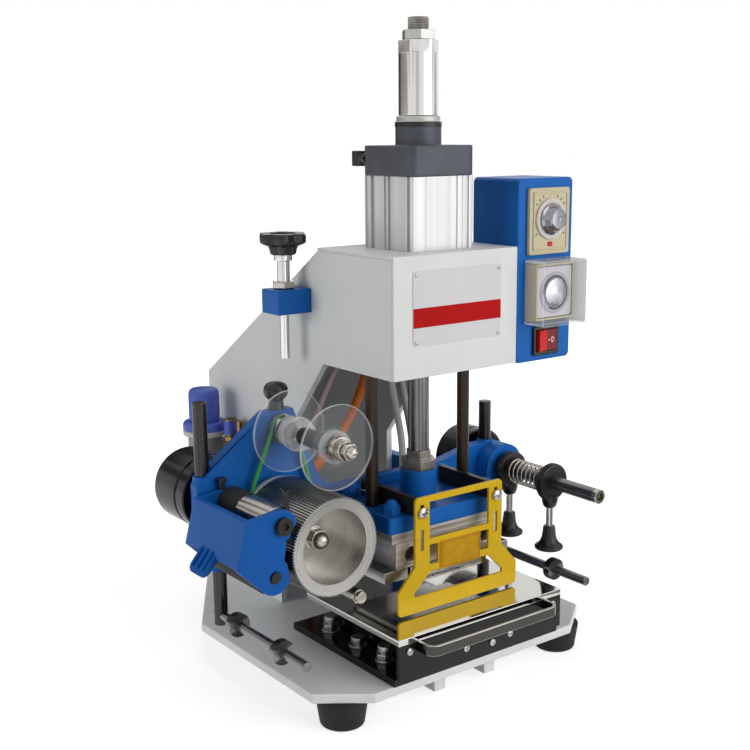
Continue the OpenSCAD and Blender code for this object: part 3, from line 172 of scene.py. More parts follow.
def waved(radius: float, depth: float, count: int, steps: int, power: float = 1.0) -> Outline:
    """Gives a round outline with lobes or teeth.

    Args:
        radius: the outer radius.
        depth: how far the valleys go in.
        count: the number of lobes.
        steps: the points of a lobe.
        power: above 1 the lobes are broad, below 1 they are narrow.

    Returns:
        The points, counter-clockwise.
    """
    points = []
    for k in range(count * steps):
        angle = 2 * math.pi * k / (count * steps)
        fall = (0.5 - 0.5 * math.cos(count * angle)) ** power
        points.append(polar(radius - depth * fall, angle))
    return points


def smooth_route(route: Route, steps: int) -> list[Vector]:
    """Draws a smooth line through given machine points.

    Args:
        route: points in millimetres.
        steps: the points drawn for each stretch.

    Returns:
        The line's points in metres.
    """
    knots = [at(*point) for point in route]
    last = len(knots) - 1
    line = []
    for i in range(last):
        a, b, c, d = knots[max(i - 1, 0)], knots[i], knots[i + 1], knots[min(i + 2, last)]
        for s in range(steps):
            t = s / steps
            line.append(0.5 * (2 * b + (c - a) * t + (2 * a - 5 * b + 4 * c - d) * t ** 2
                               + (3 * b - a - 3 * c + d) * t ** 3))
    return line + [knots[last]]


def off_axis(point: Vector, axis: tuple[float, float]) -> float:
    """Gives a machine point's distance from an axis along Y."""
    return math.hypot(point.x - axis[0], point.z - axis[1])


# mesh tools


def fresh(*chosen: bpy.types.Object) -> None:
    """Leaves edit mode and selects only the given objects.

    Args:
        chosen: the objects to select, the last one active.
    """
    if bpy.context.object and bpy.context.object.mode != "OBJECT":
        bpy.ops.object.mode_set(mode="OBJECT")
    bpy.ops.object.select_all(action="DESELECT")
    for one in chosen:
        one.select_set(True)
        bpy.context.view_layer.objects.active = one


def weld() -> None:
    """Selects the whole mesh in edit mode and merges its doubles."""
    bpy.ops.mesh.select_all(action="SELECT")
    bpy.ops.mesh.remove_doubles(threshold=WELD)


def settle(piece: bpy.types.Object, way: Way, foot: Vector) -> None:
    """Turns a piece from its drawing into the machine and puts its place in its mesh.

    Args:
        piece: the drawn object, at the origin.
        way: the direction in which it rises.
        foot: where its origin goes.
    """
    piece.rotation_euler = way.value
    piece.location = foot
    fresh(piece)
    bpy.ops.object.transform_apply(location=True, rotation=True, scale=True)


def lofted(name: str, outline: Outline, rings: Outline, way: Way, foot: Vector) -> bpy.types.Object:
    """Extrudes an outline through rings of changing size.

    Args:
        name: the piece's name.
        outline: points of the cross section at size 1, counter-clockwise, in millimetres.
        rings: pairs of size and height. Where the last is the first, the piece is hollow, as a washer.
        way: the direction in which it rises.
        foot: where its drawing's origin goes.

    Returns:
        The new object.
    """
    fresh()
    hollow = rings[0] == rings[-1]
    bpy.ops.mesh.primitive_circle_add(vertices=len(outline), radius=MM,
                                      fill_type="NOTHING" if hollow else "NGON")
    piece = bpy.context.object
    piece.name = piece.data.name = name
    size, height = rings[0]
    for vertex, (u, v) in zip(piece.data.vertices, outline):
        vertex.co = (u * size * MM, v * size * MM, height * MM)
    bpy.ops.object.mode_set(mode="EDIT")
    bpy.ops.mesh.select_all(action="SELECT")
    for (low_size, low), (high_size, high) in pairwise(rings):
        bpy.ops.mesh.extrude_region_move(TRANSFORM_OT_translate={"value": (0, 0, (high - low) * MM)})
        ratio = high_size / low_size
        bpy.ops.transform.resize(value=(ratio, ratio, 1), center_override=(0, 0, 0))
    weld()
    bpy.ops.mesh.normals_make_consistent(inside=False)
    settle(piece, way, foot)
    return piece


def turned(name: str, profile: Outline, way: Way, foot: Vector, sides: int = 48) -> bpy.types.Object:
    """Makes a lathe-turned piece.

    Args:
        name: the piece's name.
        profile: pairs of radius and height. Where the last is the first, the piece is hollow.
        way: the direction in which the heights run.
        foot: where the axis starts.
        sides: how many facets go round.

    Returns:
        The new object.
    """
    return lofted(name, circle(sides), profile, way, foot)


def soften(piece: bpy.types.Object, width: float, segments: int = 2) -> None:
    """Eases the sharp edges of a piece, smooths its curved faces and keeps its flat ones even.

    Args:
        piece: the object.
        width: the width of the eased edge, 0 for none.
        segments: the facets across it.
    """
    fresh(piece)
    if width:
        edge = piece.modifiers.new("edge", "BEVEL")
        edge.width = width * MM
        edge.segments = segments
        edge.limit_method = "ANGLE"
        edge.angle_limit = SHARP
        edge.use_clamp_overlap = False
        edge.loop_slide = False
        bpy.ops.object.modifier_apply(modifier=edge.name)
    bpy.ops.object.shade_smooth_by_angle(angle=SHARP)
    even = piece.modifiers.new("even", "WEIGHTED_NORMAL")
    even.keep_sharp = True
    bpy.ops.object.modifier_apply(modifier=even.name)


def carve(piece: bpy.types.Object, tool: bpy.types.Object) -> None:
    """Cuts a tool's shape out of a piece and deletes the tool.

    Args:
        piece: the object to cut.
        tool: the closed shape that goes.
    """
    fresh(piece)
    cut = piece.modifiers.new("cut", "BOOLEAN")
    cut.object = tool
    cut.operation = "DIFFERENCE"
    cut.solver = "EXACT"
    bpy.ops.object.modifier_apply(modifier=cut.name)
    bpy.data.objects.remove(tool, do_unlink=True)


def copied(piece: bpy.types.Object, name: str, offset: Vector) -> bpy.types.Object:
    """Copies a piece with its own mesh to another place.

    Args:
        piece: the finished piece, before it rides.
        name: the copy's name.
        offset: how far it moves, in metres.

    Returns:
        The copy.
    """
    twin = piece.copy()
    twin.data = piece.data.copy()
    twin.name = twin.data.name = name
    bpy.context.collection.objects.link(twin)
    twin.data.transform(Matrix.Translation(offset))
    return twin


def curved(name: str, points: Sequence[Vector], radius: float, closed: bool = False) -> bpy.types.Object:
    """Runs a round tube along points.

    Args:
        name: the piece's name.
        points: the middle line, in metres.
        radius: the tube's radius in millimetres.
        closed: whether the line joins its own start.

    Returns:
        A curve object.
    """
    line = bpy.data.curves.new(name, "CURVE")
    line.dimensions = "3D"
    line.bevel_depth = radius * MM
    line.bevel_resolution = 4
    line.use_fill_caps = not closed
    spline = line.splines.new("POLY")
    spline.points.add(len(points) - 1)
    for spot, place in zip(spline.points, points):
        spot.co = (*place, 1.0)
    spline.use_cyclic_u = closed
    spline.use_smooth = True
    piece = bpy.data.objects.new(name, line)
    bpy.context.collection.objects.link(piece)
    return piece


def as_mesh(piece: bpy.types.Object) -> bpy.types.Object:
    """Turns a curve into a closed mesh with smooth faces.

    Args:
        piece: the curve object.

    Returns:
        The mesh object.
    """
    fresh(piece)
    bpy.ops.object.convert(target="MESH")
    piece = bpy.context.object
    bpy.ops.object.mode_set(mode="EDIT")
    weld()
    bpy.ops.mesh.normals_make_consistent(inside=False)
    bpy.ops.object.mode_set(mode="OBJECT")
    bpy.ops.object.shade_smooth_by_angle(angle=TUBE_SHARP)
    return piece


# a slotted screw in shares of its head's width: radius and height of the head, and the slot cut in it
PAN_HEAD = ((0.48, 0.0), (0.5, 0.12), (0.47, 0.24), (0.36, 0.33), (0.15, 0.37))
PAN_SLOT = ((-0.7, -0.09), (0.7, -0.09), (0.7, 0.09), (-0.7, 0.09))
SLOT_FLOOR, SLOT_TOP = 0.22, 0.6


def pan_screw(name: str, width: float, way: Way, foot: Vector, turn: float) -> bpy.types.Object:
    """Models a slotted pan-head screw.

    Args:
        name: the piece's name.
        width: the head's diameter.
        way: the direction in which the head stands.
        foot: the middle of the head's seat.
        turn: the slot's angle in degrees.

    Returns:
        The new object.
    """
    head = turned(name, [(r * width, h * width) for r, h in PAN_HEAD], Way.UP, Vector(), 28)
    bar = spun([(u * width, v * width) for u, v in PAN_SLOT], math.radians(turn))
    carve(head, lofted("slot", bar, [(1, SLOT_FLOOR * width), (1, SLOT_TOP * width)], Way.UP, Vector()))
    settle(head, way, foot)
    return head


def hex_nut(name: str, across: float, height: float, way: Way, foot: Vector) -> bpy.types.Object:
    """Models a hexagon nut with its two faces chamfered.

    Args:
        name: the piece's name.
        across: the width across the flats.
        height: its height.
        way: the direction of its axis.
        foot: the middle of its seat.

    Returns:
        The new object.
    """
    hexagon = [polar(across / math.sqrt(3), math.pi / 3 * k) for k in range(6)]
    rings = [(0.93, 0), (1, 0.09 * height), (1, 0.91 * height), (0.93, height)]
    return lofted(name, hexagon, rings, way, foot)


# finishes


def srgb(code: str) -> tuple[float, float, float, float]:
    """Turns a hex colour into linear red, green, blue and alpha.

    Args:
        code: the colour as #rrggbb.

    Returns:
        The four linear values.
    """
    values = [int(code[i:i + 2], 16) / 255 for i in (1, 3, 5)]
    return (*(v / 12.92 if v <= 0.04045 else ((v + 0.055) / 1.055) ** 2.4 for v in values), 1.0)


def add_node(tree: bpy.types.NodeTree, kind: str, values: dict[str, Any] | None = None,
             links: dict[str, bpy.types.NodeSocket] | None = None, **settings: Any) -> bpy.types.Node:
    """Adds a node with its settings, values and links.

    Args:
        tree: the material's or world's tree.
        kind: the node's type.
        values: input values by socket name.
        links: output sockets by the input's name that they feed.
        settings: the node's own properties.

    Returns:
        The new node.
    """
    node = tree.nodes.new(kind)
    for key, value in settings.items():
        setattr(node, key, value)
    for key, value in (values or {}).items():
        node.inputs[key].default_value = value
    for key, socket in (links or {}).items():
        tree.links.new(socket, node.inputs[key])
    return node


def empty_tree(owner: bpy.types.Material | bpy.types.World) -> bpy.types.NodeTree:
    """Gives the node tree of a new material or world, with nothing in it.

    Args:
        owner: the material or world.

    Returns:
        Its tree.
    """
    owner.use_nodes = True
    owner.node_tree.nodes.clear()
    return owner.node_tree


@dataclass(frozen=True)
class Finish:
    """A surface: what it is made of, how it was made, and what that gives the eye.

    size is the width of its fine marks and patch that of its slow mottle, both in millimetres. bump and
    relief are the strength and the depth of the marks, shade and swing how far the colour and the
    roughness vary, stretch how far a lathe drew out its shine, and second the other colour of a mottle.
    """

    name: str
    colour: str
    rough: float
    metal: float = 0.0
    grain: Grain = Grain.PLAIN
    size: float = 1.0
    bump: float = 0.08
    relief: float = 0.05
    shade: float = 0.05
    patch: float = 55.0
    swing: float = 0.08
    specular: float = 0.5
    alpha: float = 1.0
    stretch: float = 0.0
    second: str = ""

    def like(self, name: str, colour: str, **changes: Any) -> "Finish":
        """Gives a finish of the same make with another name and colour."""
        return replace(self, name=name, colour=colour, **changes)

    def marks(self, tree: bpy.types.NodeTree, place: bpy.types.NodeSocket,
              middle: Vector | None) -> bpy.types.NodeSocket:
        """Gives the coordinates in which the fine marks run.

        Args:
            tree: the material's tree.
            place: the piece's own coordinates.
            middle: a point on the lathe axis, for turned metal.

        Returns:
            The socket that feeds the grain.
        """
        if self.grain in DRAWN_OUT:
            drawn = add_node(tree, "ShaderNodeMapping", {"Scale": DRAWN_OUT[self.grain]}, {"Vector": place})
            return drawn.outputs["Vector"]
        if self.grain not in LATHE or middle is None:
            return place
        axis, flat = LATHE[self.grain]
        moved = add_node(tree, "ShaderNodeMapping", {"Location": tuple(-middle)}, {"Vector": place})
        across = add_node(tree, "ShaderNodeVectorMath", {1: flat}, {0: moved.outputs["Vector"]},
                          operation="MULTIPLY")
        radius = add_node(tree, "ShaderNodeVectorMath", links={0: across.outputs["Vector"]},
                          operation="LENGTH")
        split = add_node(tree, "ShaderNodeSeparateXYZ", links={"Vector": moved.outputs["Vector"]})
        rings = add_node(tree, "ShaderNodeCombineXYZ", links={
            "X": radius.outputs["Value"], "Y": split.outputs[axis]})
        return rings.outputs["Vector"]

    def material(self, middle: Vector | None = None) -> bpy.types.Material:
        """Builds the finish as a node material, once for each lathe axis.

        Args:
            middle: a point on the lathe axis, for turned metal.

        Returns:
            The material.
        """
        label = self.name
        if middle is not None and self.grain in LATHE:
            label = "_".join((label, *(f"{v / MM:.0f}" for v in middle)))
        if label in bpy.data.materials:
            return bpy.data.materials[label]
        made = bpy.data.materials.new(label)
        tree = empty_tree(made)
        run = self.marks(tree, add_node(tree, "ShaderNodeTexCoord").outputs["Object"], middle)
        broad, fine = (
            add_node(tree, "ShaderNodeTexNoise", {"Scale": 1 / (width * MM), "Detail": detail},
                     {"Vector": run}).outputs["Fac"]
            for width, detail in ((self.patch, 4.0), (self.size, 3.0)))
        ramp = add_node(tree, "ShaderNodeValToRGB", links={"Fac": broad})
        stops = ((0.34, self.colour, 1 - self.shade), (0.66, self.second or self.colour, 1 + self.shade))
        for stop, (part, tone, shift) in zip(ramp.color_ramp.elements, stops):
            stop.position = part
            stop.color = (*(min(1.0, v * shift) for v in srgb(tone)[:3]), 1.0)
        rough = add_node(tree, "ShaderNodeMapRange", {
            "From Min": 0.3, "From Max": 0.7, "To Min": max(0.02, self.rough - self.swing),
            "To Max": min(1.0, self.rough + self.swing)}, {"Value": fine})
        bump = add_node(tree, "ShaderNodeBump", {"Strength": self.bump, "Distance": self.relief * MM},
                        {"Height": fine})
        values = {"Metallic": self.metal, "Specular IOR Level": self.specular, "Alpha": self.alpha}
        links = {"Base Color": ramp.outputs["Color"], "Roughness": rough.outputs["Result"],
                 "Normal": bump.outputs["Normal"]}
        if self.stretch:
            values["Anisotropic"] = self.stretch
            links["Tangent"] = add_node(tree, "ShaderNodeTangent", direction_type="RADIAL",
                                        axis=LATHE[self.grain][0]).outputs["Tangent"]
        surface = add_node(tree, "ShaderNodeBsdfPrincipled", values, links).outputs["BSDF"]
        add_node(tree, "ShaderNodeOutputMaterial", links={"Surface": surface})
        return made


# sprayed satin enamel on sheet steel: a soft sheen with a faint peel of about 1.6 mm
FRAME_ENAMEL = Finish("frame_enamel", "#e6e8e6", 0.45, size=1.6, bump=0.05, shade=0.02, swing=0.05,
                      specular=0.25)
# the same enamel on the base, lightened as painted light on the base, with more mottle from use
LIT_BASE_ENAMEL = FRAME_ENAMEL.like("base_enamel", "#eceeec", shade=0.04)
# sprayed blue enamel on cast iron: a brighter sheen with a slow peel of about 3 mm
BLUE_ENAMEL = Finish("blue_enamel", "#1564b6", 0.36, size=3.0, bump=0.05, swing=0.05, specular=0.16)
# the same enamel on the nip bracket, darkened a shade as painted shade for the shadow it sits in
SHADED_BLUE_ENAMEL = BLUE_ENAMEL.like("deep_blue_enamel", "#115cac")
# gloss black stove enamel: deep and mirror-like with a little dust
BLACK_ENAMEL = Finish("black_enamel", "#0c0c0d", 0.16, size=1.5, bump=0.04, shade=0.2, swing=0.06,
                      specular=0.3)
# yellow lacquer over bright metal, which reads as brass with soft reflections
YELLOW_LACQUER = Finish("yellow_lacquer", "#dcb416", 0.34, metal=0.1, size=3.0, bump=0.03, swing=0.04,
                        specular=0.25)
# the same lacquer on the guard's plaque: amber, in patches of about 9 mm
AMBER_LACQUER = YELLOW_LACQUER.like("amber_lacquer", "#c39410", shade=0.1, patch=9.0)
# extruded and anodised aluminium: satin with bands and fine draw lines along Z
DRAWN_ALUMINIUM = Finish("drawn_aluminium", "#d6d4d4", 0.38, metal=0.4, grain=Grain.BRUSHED_Z, size=0.7,
                         bump=0.06, shade=0.09, patch=7.0, swing=0.1)
# sand-cast aluminium with dark grey paint: a rough skin of about 1 mm grains with a low shine
CAST_GREY = Finish("cast_grey", "#494c54", 0.42, metal=0.2, size=1.1, bump=0.2, relief=0.1, shade=0.1,
                   patch=14.0, specular=0.4)
# machined aluminium ring of the cap, pale and satin
CAP_RING = Finish("cap_ring", "#b6b5b2", 0.4, metal=0.5, size=0.8, bump=0.06, shade=0.06)
# hard chrome, ground and polished: nearly a mirror with faint rings round Z
CHROME_Z = Finish("chrome_round_z", "#c9c8c8", 0.16, metal=1.0, grain=Grain.TURNED_Z, size=0.5, bump=0.04,
                  shade=0.03, swing=0.05)
# drawn chrome tube of the stroke sleeve: soft vertical streaks a few millimetres wide, partly draw marks and
# partly painted reflection
SLEEVE_CHROME = Finish("sleeve_chrome", "#dad8d6", 0.2, metal=1.0, grain=Grain.BRUSHED_Z, size=2.4,
                       bump=0.02, patch=5.0, swing=0.04)
# ground piston rod, darkened to grey with dark streaks along Z: painted reflection of the shade under the
# head
ROD_STEEL = Finish("rod_steel", "#6b6a6c", 0.3, metal=1.0, grain=Grain.BRUSHED_Z, bump=0.06, shade=0.4,
                   patch=2.5, swing=0.1)
# polished chrome plate: a clear mirror
CHROME = Finish("polished_chrome", "#b4b2ae", 0.1, metal=1.0, size=3.0, bump=0.02, shade=0.03, swing=0.04)
# the same plate on the faces of the handle strip, darkened as painted reflection; its faces turned up or down
# take the bright plate as painted highlight
HANDLE_DARK_REFLECTION = CHROME.like("handle_chrome", "#4c4b47", shade=0.06)
# nickel plated steel: warm bright metal, softer than chrome
NICKEL = Finish("nickel_plate", "#b0aba2", 0.22, metal=1.0, size=0.8, bump=0.04, shade=0.06)
# zinc plated steel of small screws: cool and a little cloudy
ZINC = Finish("zinc_plate", "#b4b3b0", 0.28, metal=1.0, size=0.6, bump=0.06, shade=0.08, swing=0.1)
# cut thread and hexagon of the press rod, brown-grey with oil
THREAD_STEEL = Finish("thread_steel", "#8f8b86", 0.32, metal=1.0, size=0.6, shade=0.15, patch=8.0)
# bright turned steel with rings round Y of about 0.45 mm, drawn coarser than the real cut to show
TURNED_STEEL_Y = Finish("turned_steel_y", "#b4b1ac", 0.25, metal=1.0, grain=Grain.TURNED_Y, size=0.45,
                        bump=0.03, relief=0.03, shade=0.04, patch=3.0, stretch=0.6)
# faced end of the roller, pale with fine rings
FACED_STEEL_Y = Finish("faced_steel_y", "#bfbdb9", 0.28, metal=0.7, grain=Grain.TURNED_Y, size=0.6,
                       bump=0.02, relief=0.03, patch=2.0, swing=0.06, stretch=0.6)
# polished flange of the pulley, near white, partly its polish and partly a painted highlight along its rim
FLANGE_STEEL = Finish("flange_steel", "#efeeeb", 0.26, metal=0.4, size=0.6, bump=0.03, shade=0.03)
# valleys and flanks between the roller's teeth, darkened as painted shade
TOOTH_SHADE = Finish("tooth_valley", "#6f6e6b", 0.36, metal=0.9, size=0.8, bump=0.06, shade=0.12)
# cold drawn steel rod, grey with long streaks along Y
DRAWN_STEEL_Y = Finish("drawn_steel_y", "#7c7b7b", 0.3, metal=1.0, grain=Grain.BRUSHED_Y, size=0.8,
                       bump=0.06, shade=0.25, patch=3.0, swing=0.1)
# the same steel in the posts, darker, with streaks along Z
DRAWN_STEEL_Z = DRAWN_STEEL_Y.like("drawn_steel_z", "#3f3b3d", rough=0.28, grain=Grain.BRUSHED_Z)
# blued and oiled rod: brown-black with a dull shine
OILED_STEEL = Finish("oiled_steel", "#352b23", 0.36, metal=0.7, grain=Grain.BRUSHED_Z, size=1.2, bump=0.06,
                     shade=0.25, patch=6.0, swing=0.12)
# black oxide on screws and bars: dull and nearly black
BLACK_OXIDE = Finish("black_oxide", "#2b2827", 0.36, metal=0.5, size=0.8, shade=0.15)
# milled aluminium block, satin with cutter lines along X
MILLED_ALUMINIUM = Finish("milled_aluminium", "#d2cdc7", 0.36, metal=0.6, grain=Grain.BRUSHED_X, size=0.7,
                          bump=0.12, shade=0.1, patch=4.0, swing=0.12)
# polished stainless sheet of the table: a mirror with faint grinding along Y
MIRROR_STEEL = Finish("mirror_steel", "#cfcdc8", 0.07, metal=1.0, grain=Grain.BRUSHED_Y, size=0.9,
                      bump=0.02, shade=0.04, swing=0.04)
# pressed heat board: pale and brownish sheets a few millimetres thick on each other
HEAT_BOARD = Finish("heat_board", "#8d8078", 0.7, grain=Grain.LAYERED_Z, size=1.2, bump=0.2, shade=0.1,
                    patch=5.0, second="#d8d2ca")
# turned brass, brown with tarnish
BRASS = Finish("turned_brass", "#857148", 0.32, metal=1.0, size=0.8, bump=0.05, shade=0.15, patch=9.0)
# sintered bronze of the bushes, with open pores of about 0.5 mm
BRONZE = Finish("sintered_bronze", "#8a6a3c", 0.4, metal=1.0, size=0.5, bump=0.1, shade=0.12)
# moulded black phenolic of knobs: smooth and faintly shiny
BLACK_MOULD = Finish("black_mould", "#121212", 0.3, size=0.9, bump=0.05, shade=0.15, specular=0.45)
# moulded gloss black of motor shells: deeper, with sharper lights
BLACK_GLOSS = Finish("black_shell", "#060606", 0.2, size=1.4, bump=0.03, shade=0.2, specular=0.28)
# soft black rubber with a dry bloom
RUBBER = Finish("black_rubber", "#1d1d1d", 0.68, size=0.7, bump=0.14, shade=0.18, patch=18.0, specular=0.3)
# moulded ABS of the panel units, beige with a fine satin skin
BEIGE_MOULD = Finish("beige_mould", "#cdc2a2", 0.46, size=0.8, bump=0.06, shade=0.03, specular=0.3)
# smoother moulded ABS of the timer's plate, white, and of its dial, lilac
WHITE_MOULD = Finish("white_mould", "#d5d2d8", 0.4, size=0.8, bump=0.04, shade=0.02, specular=0.3)
LILAC_MOULD = WHITE_MOULD.like("lilac_mould", "#b5b2c0")
# spun aluminium of the knobs: rings that draw the light out into a fan, and a paler, softer one
SPUN_ALUMINIUM = Finish("spun_aluminium", "#8c8b8f", 0.1, metal=1.0, grain=Grain.TURNED_Y, size=0.5,
                        bump=0.1, shade=0.06, stretch=0.6)
SPUN_PALE = SPUN_ALUMINIUM.like("spun_pale", "#b4b2ba", rough=0.22, shade=0.04)
# screen-printed ink on the panels, flat and even
PRINT_DARK = Finish("print_dark", "#37363a", 0.5, size=0.8, bump=0.03)
PRINT_WHITE = PRINT_DARK.like("print_white", "#f0dcda", shade=0.02)
PRINT_RED = PRINT_DARK.like("print_red", "#b8100f", size=1.2, shade=0.03, specular=0.1)
# lacquered aluminium sheet of the name plate, white and satin
PLATE_WHITE = Finish("plate_white", "#dcdadb", 0.4, size=1.2, bump=0.03, shade=0.02, specular=0.3)
# translucent red moulding of the rocker, its lit side and its shaded side
RED_BRIGHT = Finish("rocker_bright", "#d0140e", 0.32, size=0.9, bump=0.03, shade=0.06, specular=0.3)
RED_DARK = RED_BRIGHT.like("rocker_dark", "#7a0a1e", rough=0.3, shade=0.08)
# moulded nylon of the air unit, a soft violet blue
BLUE_MOULD = Finish("blue_mould", "#4f66c4", 0.36, size=0.9, bump=0.05, shade=0.06, specular=0.4)
# die-cast zinc of the regulator, grey and a little rough
GREY_CAST = Finish("grey_cast", "#8d8a86", 0.45, metal=0.3, bump=0.14, shade=0.08)
# moulded nylon of the regulator's collar and the dial's rim, pale and satin
PALE_MOULD = Finish("pale_mould", "#cfcac4", 0.42, size=0.9, bump=0.05, shade=0.04)
# cast clear acrylic: colourless with polished faces
ACRYLIC = Finish("clear_acrylic", "#dfe4e6", 0.08, size=6.0, bump=0.01, shade=0.02, swing=0.02, specular=0.3,
                 alpha=0.05)
# the same acrylic made whiter and more opaque on the cover's top and bottom walls, its bevels and edge, the
# disc rims and the hubs: painted reflection and painted highlight for the light these faces gather; the
# cover's side walls stay nearly clear
ACRYLIC_WALL = Finish("acrylic_wall", "#f4f6f7", 0.06, size=4.0, bump=0.02, shade=0.02, swing=0.02, alpha=0.4)
ACRYLIC_SIDE = ACRYLIC_WALL.like("acrylic_side", "#f4f6f7", alpha=0.07)
ACRYLIC_HUB = ACRYLIC_WALL.like("acrylic_hub", "#f0f3f5", rough=0.12, shade=0.05)
ACRYLIC_EDGE = Finish("acrylic_edge", "#e6e9ea", 0.2, size=2.0, bump=0.04, shade=0.04, alpha=0.5)
ACRYLIC_RIM = ACRYLIC_EDGE.like("acrylic_rim", "#f6f8f9", shade=0.02, alpha=0.8)
# extruded polyurethane round belt, green and satin
GREEN_BELT = Finish("green_belt", "#2f9a3c", 0.42, size=0.7, bump=0.1, shade=0.08, patch=20.0)
# extruded polyurethane hoses, smooth with a soft shine, and PVC leads, duller
ORANGE_HOSE = Finish("orange_hose", "#f67a12", 0.34, bump=0.04, specular=0.3)
PALE_HOSE = Finish("pale_hose", "#c9b3b3", 0.34, bump=0.04)
GREY_LEAD = Finish("grey_lead", "#b4b2b1", 0.45, size=0.9, bump=0.06, shade=0.08)


@dataclass
class Studio:
    """The pale floor, the soft light and the camera at the photograph's viewing angle."""

    eye: tuple[float, float, float] = (-699.9, -863.3, 517.1)
    azimuth: float = -36.9106
    elevation: float = 11.5306
    roll: float = -0.4528
    lens: float = 57.469
    sensor: float = 36.0
    ambient: float = 0.2
    white: str = "#ffffff"
    lit_point: tuple[float, float, float] = (-20.0, 60.0, 260.0)
    floor_radius: float = 5.0
    floor_tone: str = "#dcdcdc"
    floor_fade: tuple[float, float] = (0.3, 1.0)
    floor_glow: tuple[float, float] = (0.7, 1.0)

    def camera(self) -> None:
        """Adds the camera."""
        side, rise, lean = (math.radians(v) for v in (self.azimuth, self.elevation, self.roll))
        back = Vector((math.sin(side) * math.cos(rise), -math.cos(side) * math.cos(rise), math.sin(rise)))
        right = Vector((math.cos(side), math.sin(side), 0.0))
        up = back.cross(right)
        tilted = math.cos(lean) * right + math.sin(lean) * up
        raised = math.cos(lean) * up - math.sin(lean) * right
        seen = bpy.data.cameras.new("camera")
        seen.sensor_width = self.sensor
        seen.lens = self.lens
        stand = bpy.data.objects.new("camera", seen)
        turn = Matrix((tilted, raised, back)).transposed().to_4x4()
        stand.matrix_world = Matrix.Translation(at(*self.eye)) @ turn
        bpy.context.collection.objects.link(stand)
        bpy.context.scene.camera = stand

    def seen_by(self, tree: bpy.types.NodeTree, *kinds: str) -> bpy.types.NodeSocket:
        """Gives 1 for some kinds of ray and 0 for the others.

        Args:
            tree: the material's or world's tree.
            kinds: the names of the ray outputs.

        Returns:
            The socket with the answer.
        """
        rays = add_node(tree, "ShaderNodeLightPath").outputs
        seen = rays[kinds[0]]
        for kind in kinds[1:]:
            seen = add_node(tree, "ShaderNodeMath", links={0: seen, 1: rays[kind]},
                            operation="MAXIMUM").outputs[0]
        return seen

    def world(self) -> None:
        """Makes the background white for the eye and for reflections, and dim for the light on matt faces."""
        world = bpy.data.worlds.new("studio")
        bpy.context.scene.world = world
        tree = empty_tree(world)
        seen = self.seen_by(tree, "Is Camera Ray", "Is Glossy Ray", "Is Transmission Ray")
        dim, full = (add_node(tree, "ShaderNodeBackground", {"Color": srgb(self.white), "Strength": level})
                     for level in (self.ambient, 1.0))
        mixed = add_node(tree, "ShaderNodeMixShader", links={0: seen, 1: dim.outputs[0], 2: full.outputs[0]})
        add_node(tree, "ShaderNodeOutputWorld", links={"Surface": mixed.outputs[0]})

    def lamp(self, name: str, towards: tuple[float, float, float], reach: float, level: float,
             width: float, mirrored: bool = False) -> None:
        """Adds a square soft box.

        Args:
            name: the lamp's name.
            towards: the direction from the machine to the lamp.
            reach: its distance in metres.
            level: how bright a white face turned to it becomes.
            width: its width in metres.
            mirrored: whether polished faces show it.
        """
        box = bpy.data.lights.new(name, "AREA")
        box.shape = "RECTANGLE"
        box.size = box.size_y = width
        box.energy = level * math.pi ** 2 * reach ** 2
        stand = bpy.data.objects.new(name, box)
        way = Vector(towards).normalized()
        stand.location = at(*self.lit_point) + way * reach
        stand.rotation_euler = way.to_track_quat("Z", "Y").to_euler()
        stand.visible_glossy = mirrored
        bpy.context.collection.objects.link(stand)

    def floor(self) -> None:
        """Lays the pale floor, which keeps the machine's soft shadow and fades to white around it."""
        fresh()
        bpy.ops.mesh.primitive_circle_add(vertices=96, radius=self.floor_radius, fill_type="NGON")
        ground = bpy.context.object
        ground.name = "floor"
        made = bpy.data.materials.new("pale_floor")
        tree = empty_tree(made)
        seen = self.seen_by(tree, "Is Camera Ray", "Is Glossy Ray")
        place = add_node(tree, "ShaderNodeTexCoord")
        spread = add_node(tree, "ShaderNodeVectorMath", links={0: place.outputs["Object"]},
                          operation="LENGTH")
        (near, far), (least, most) = self.floor_fade, self.floor_glow
        lift = add_node(tree, "ShaderNodeMapRange", {
            "From Min": near, "From Max": far, "To Min": least, "To Max": most},
            {"Value": spread.outputs["Value"]})
        glow = add_node(tree, "ShaderNodeMath", links={0: lift.outputs["Result"], 1: seen},
                        operation="MULTIPLY")
        light = add_node(tree, "ShaderNodeEmission", {"Color": srgb(self.white)},
                         {"Strength": glow.outputs[0]})
        matt = add_node(tree, "ShaderNodeBsdfDiffuse", {"Color": srgb(self.floor_tone)})
        both = add_node(tree, "ShaderNodeAddShader", links={0: matt.outputs[0], 1: light.outputs[0]})
        add_node(tree, "ShaderNodeOutputMaterial", links={"Surface": both.outputs[0]})
        ground.data.materials.append(made)

    def flag(self, name: str, bearing: float, reach: float, size: tuple[float, float], tone: str,
             rise: float = 0.0, lying: bool = False) -> None:
        """Sets a grey panel that only polished metal sees.

        Args:
            name: the panel's name.
            bearing: its direction from the press axis in degrees, from +X towards +Y.
            reach: its distance in metres.
            size: its width and its height, or its depth where it lies.
            tone: its colour.
            rise: the height of its foot above the floor in metres.
            lying: whether it lies flat.
        """
        turn = math.radians(bearing)
        way = Vector((*polar(1.0, turn), 0.0))
        fresh()
        bpy.ops.mesh.primitive_plane_add(size=1.0)
        panel = bpy.context.object
        panel.name = name
        panel.scale = (*size, 1.0)
        panel.location = at(0, 0, (rise if lying else rise + size[1] / 2) / MM) + way * reach
        upright = (-way).to_track_quat("Z", "Y").to_euler()
        panel.rotation_euler = (0, 0, turn + math.pi / 2) if lying else upright
        made = bpy.data.materials.new("flag_cloth")
        tree = empty_tree(made)
        cloth = add_node(tree, "ShaderNodeEmission", {"Color": srgb(tone), "Strength": 1.0})
        add_node(tree, "ShaderNodeOutputMaterial", links={"Surface": cloth.outputs[0]})
        panel.data.materials.append(made)
        panel.visible_camera = panel.visible_diffuse = panel.visible_shadow = False
        panel.visible_transmission = False

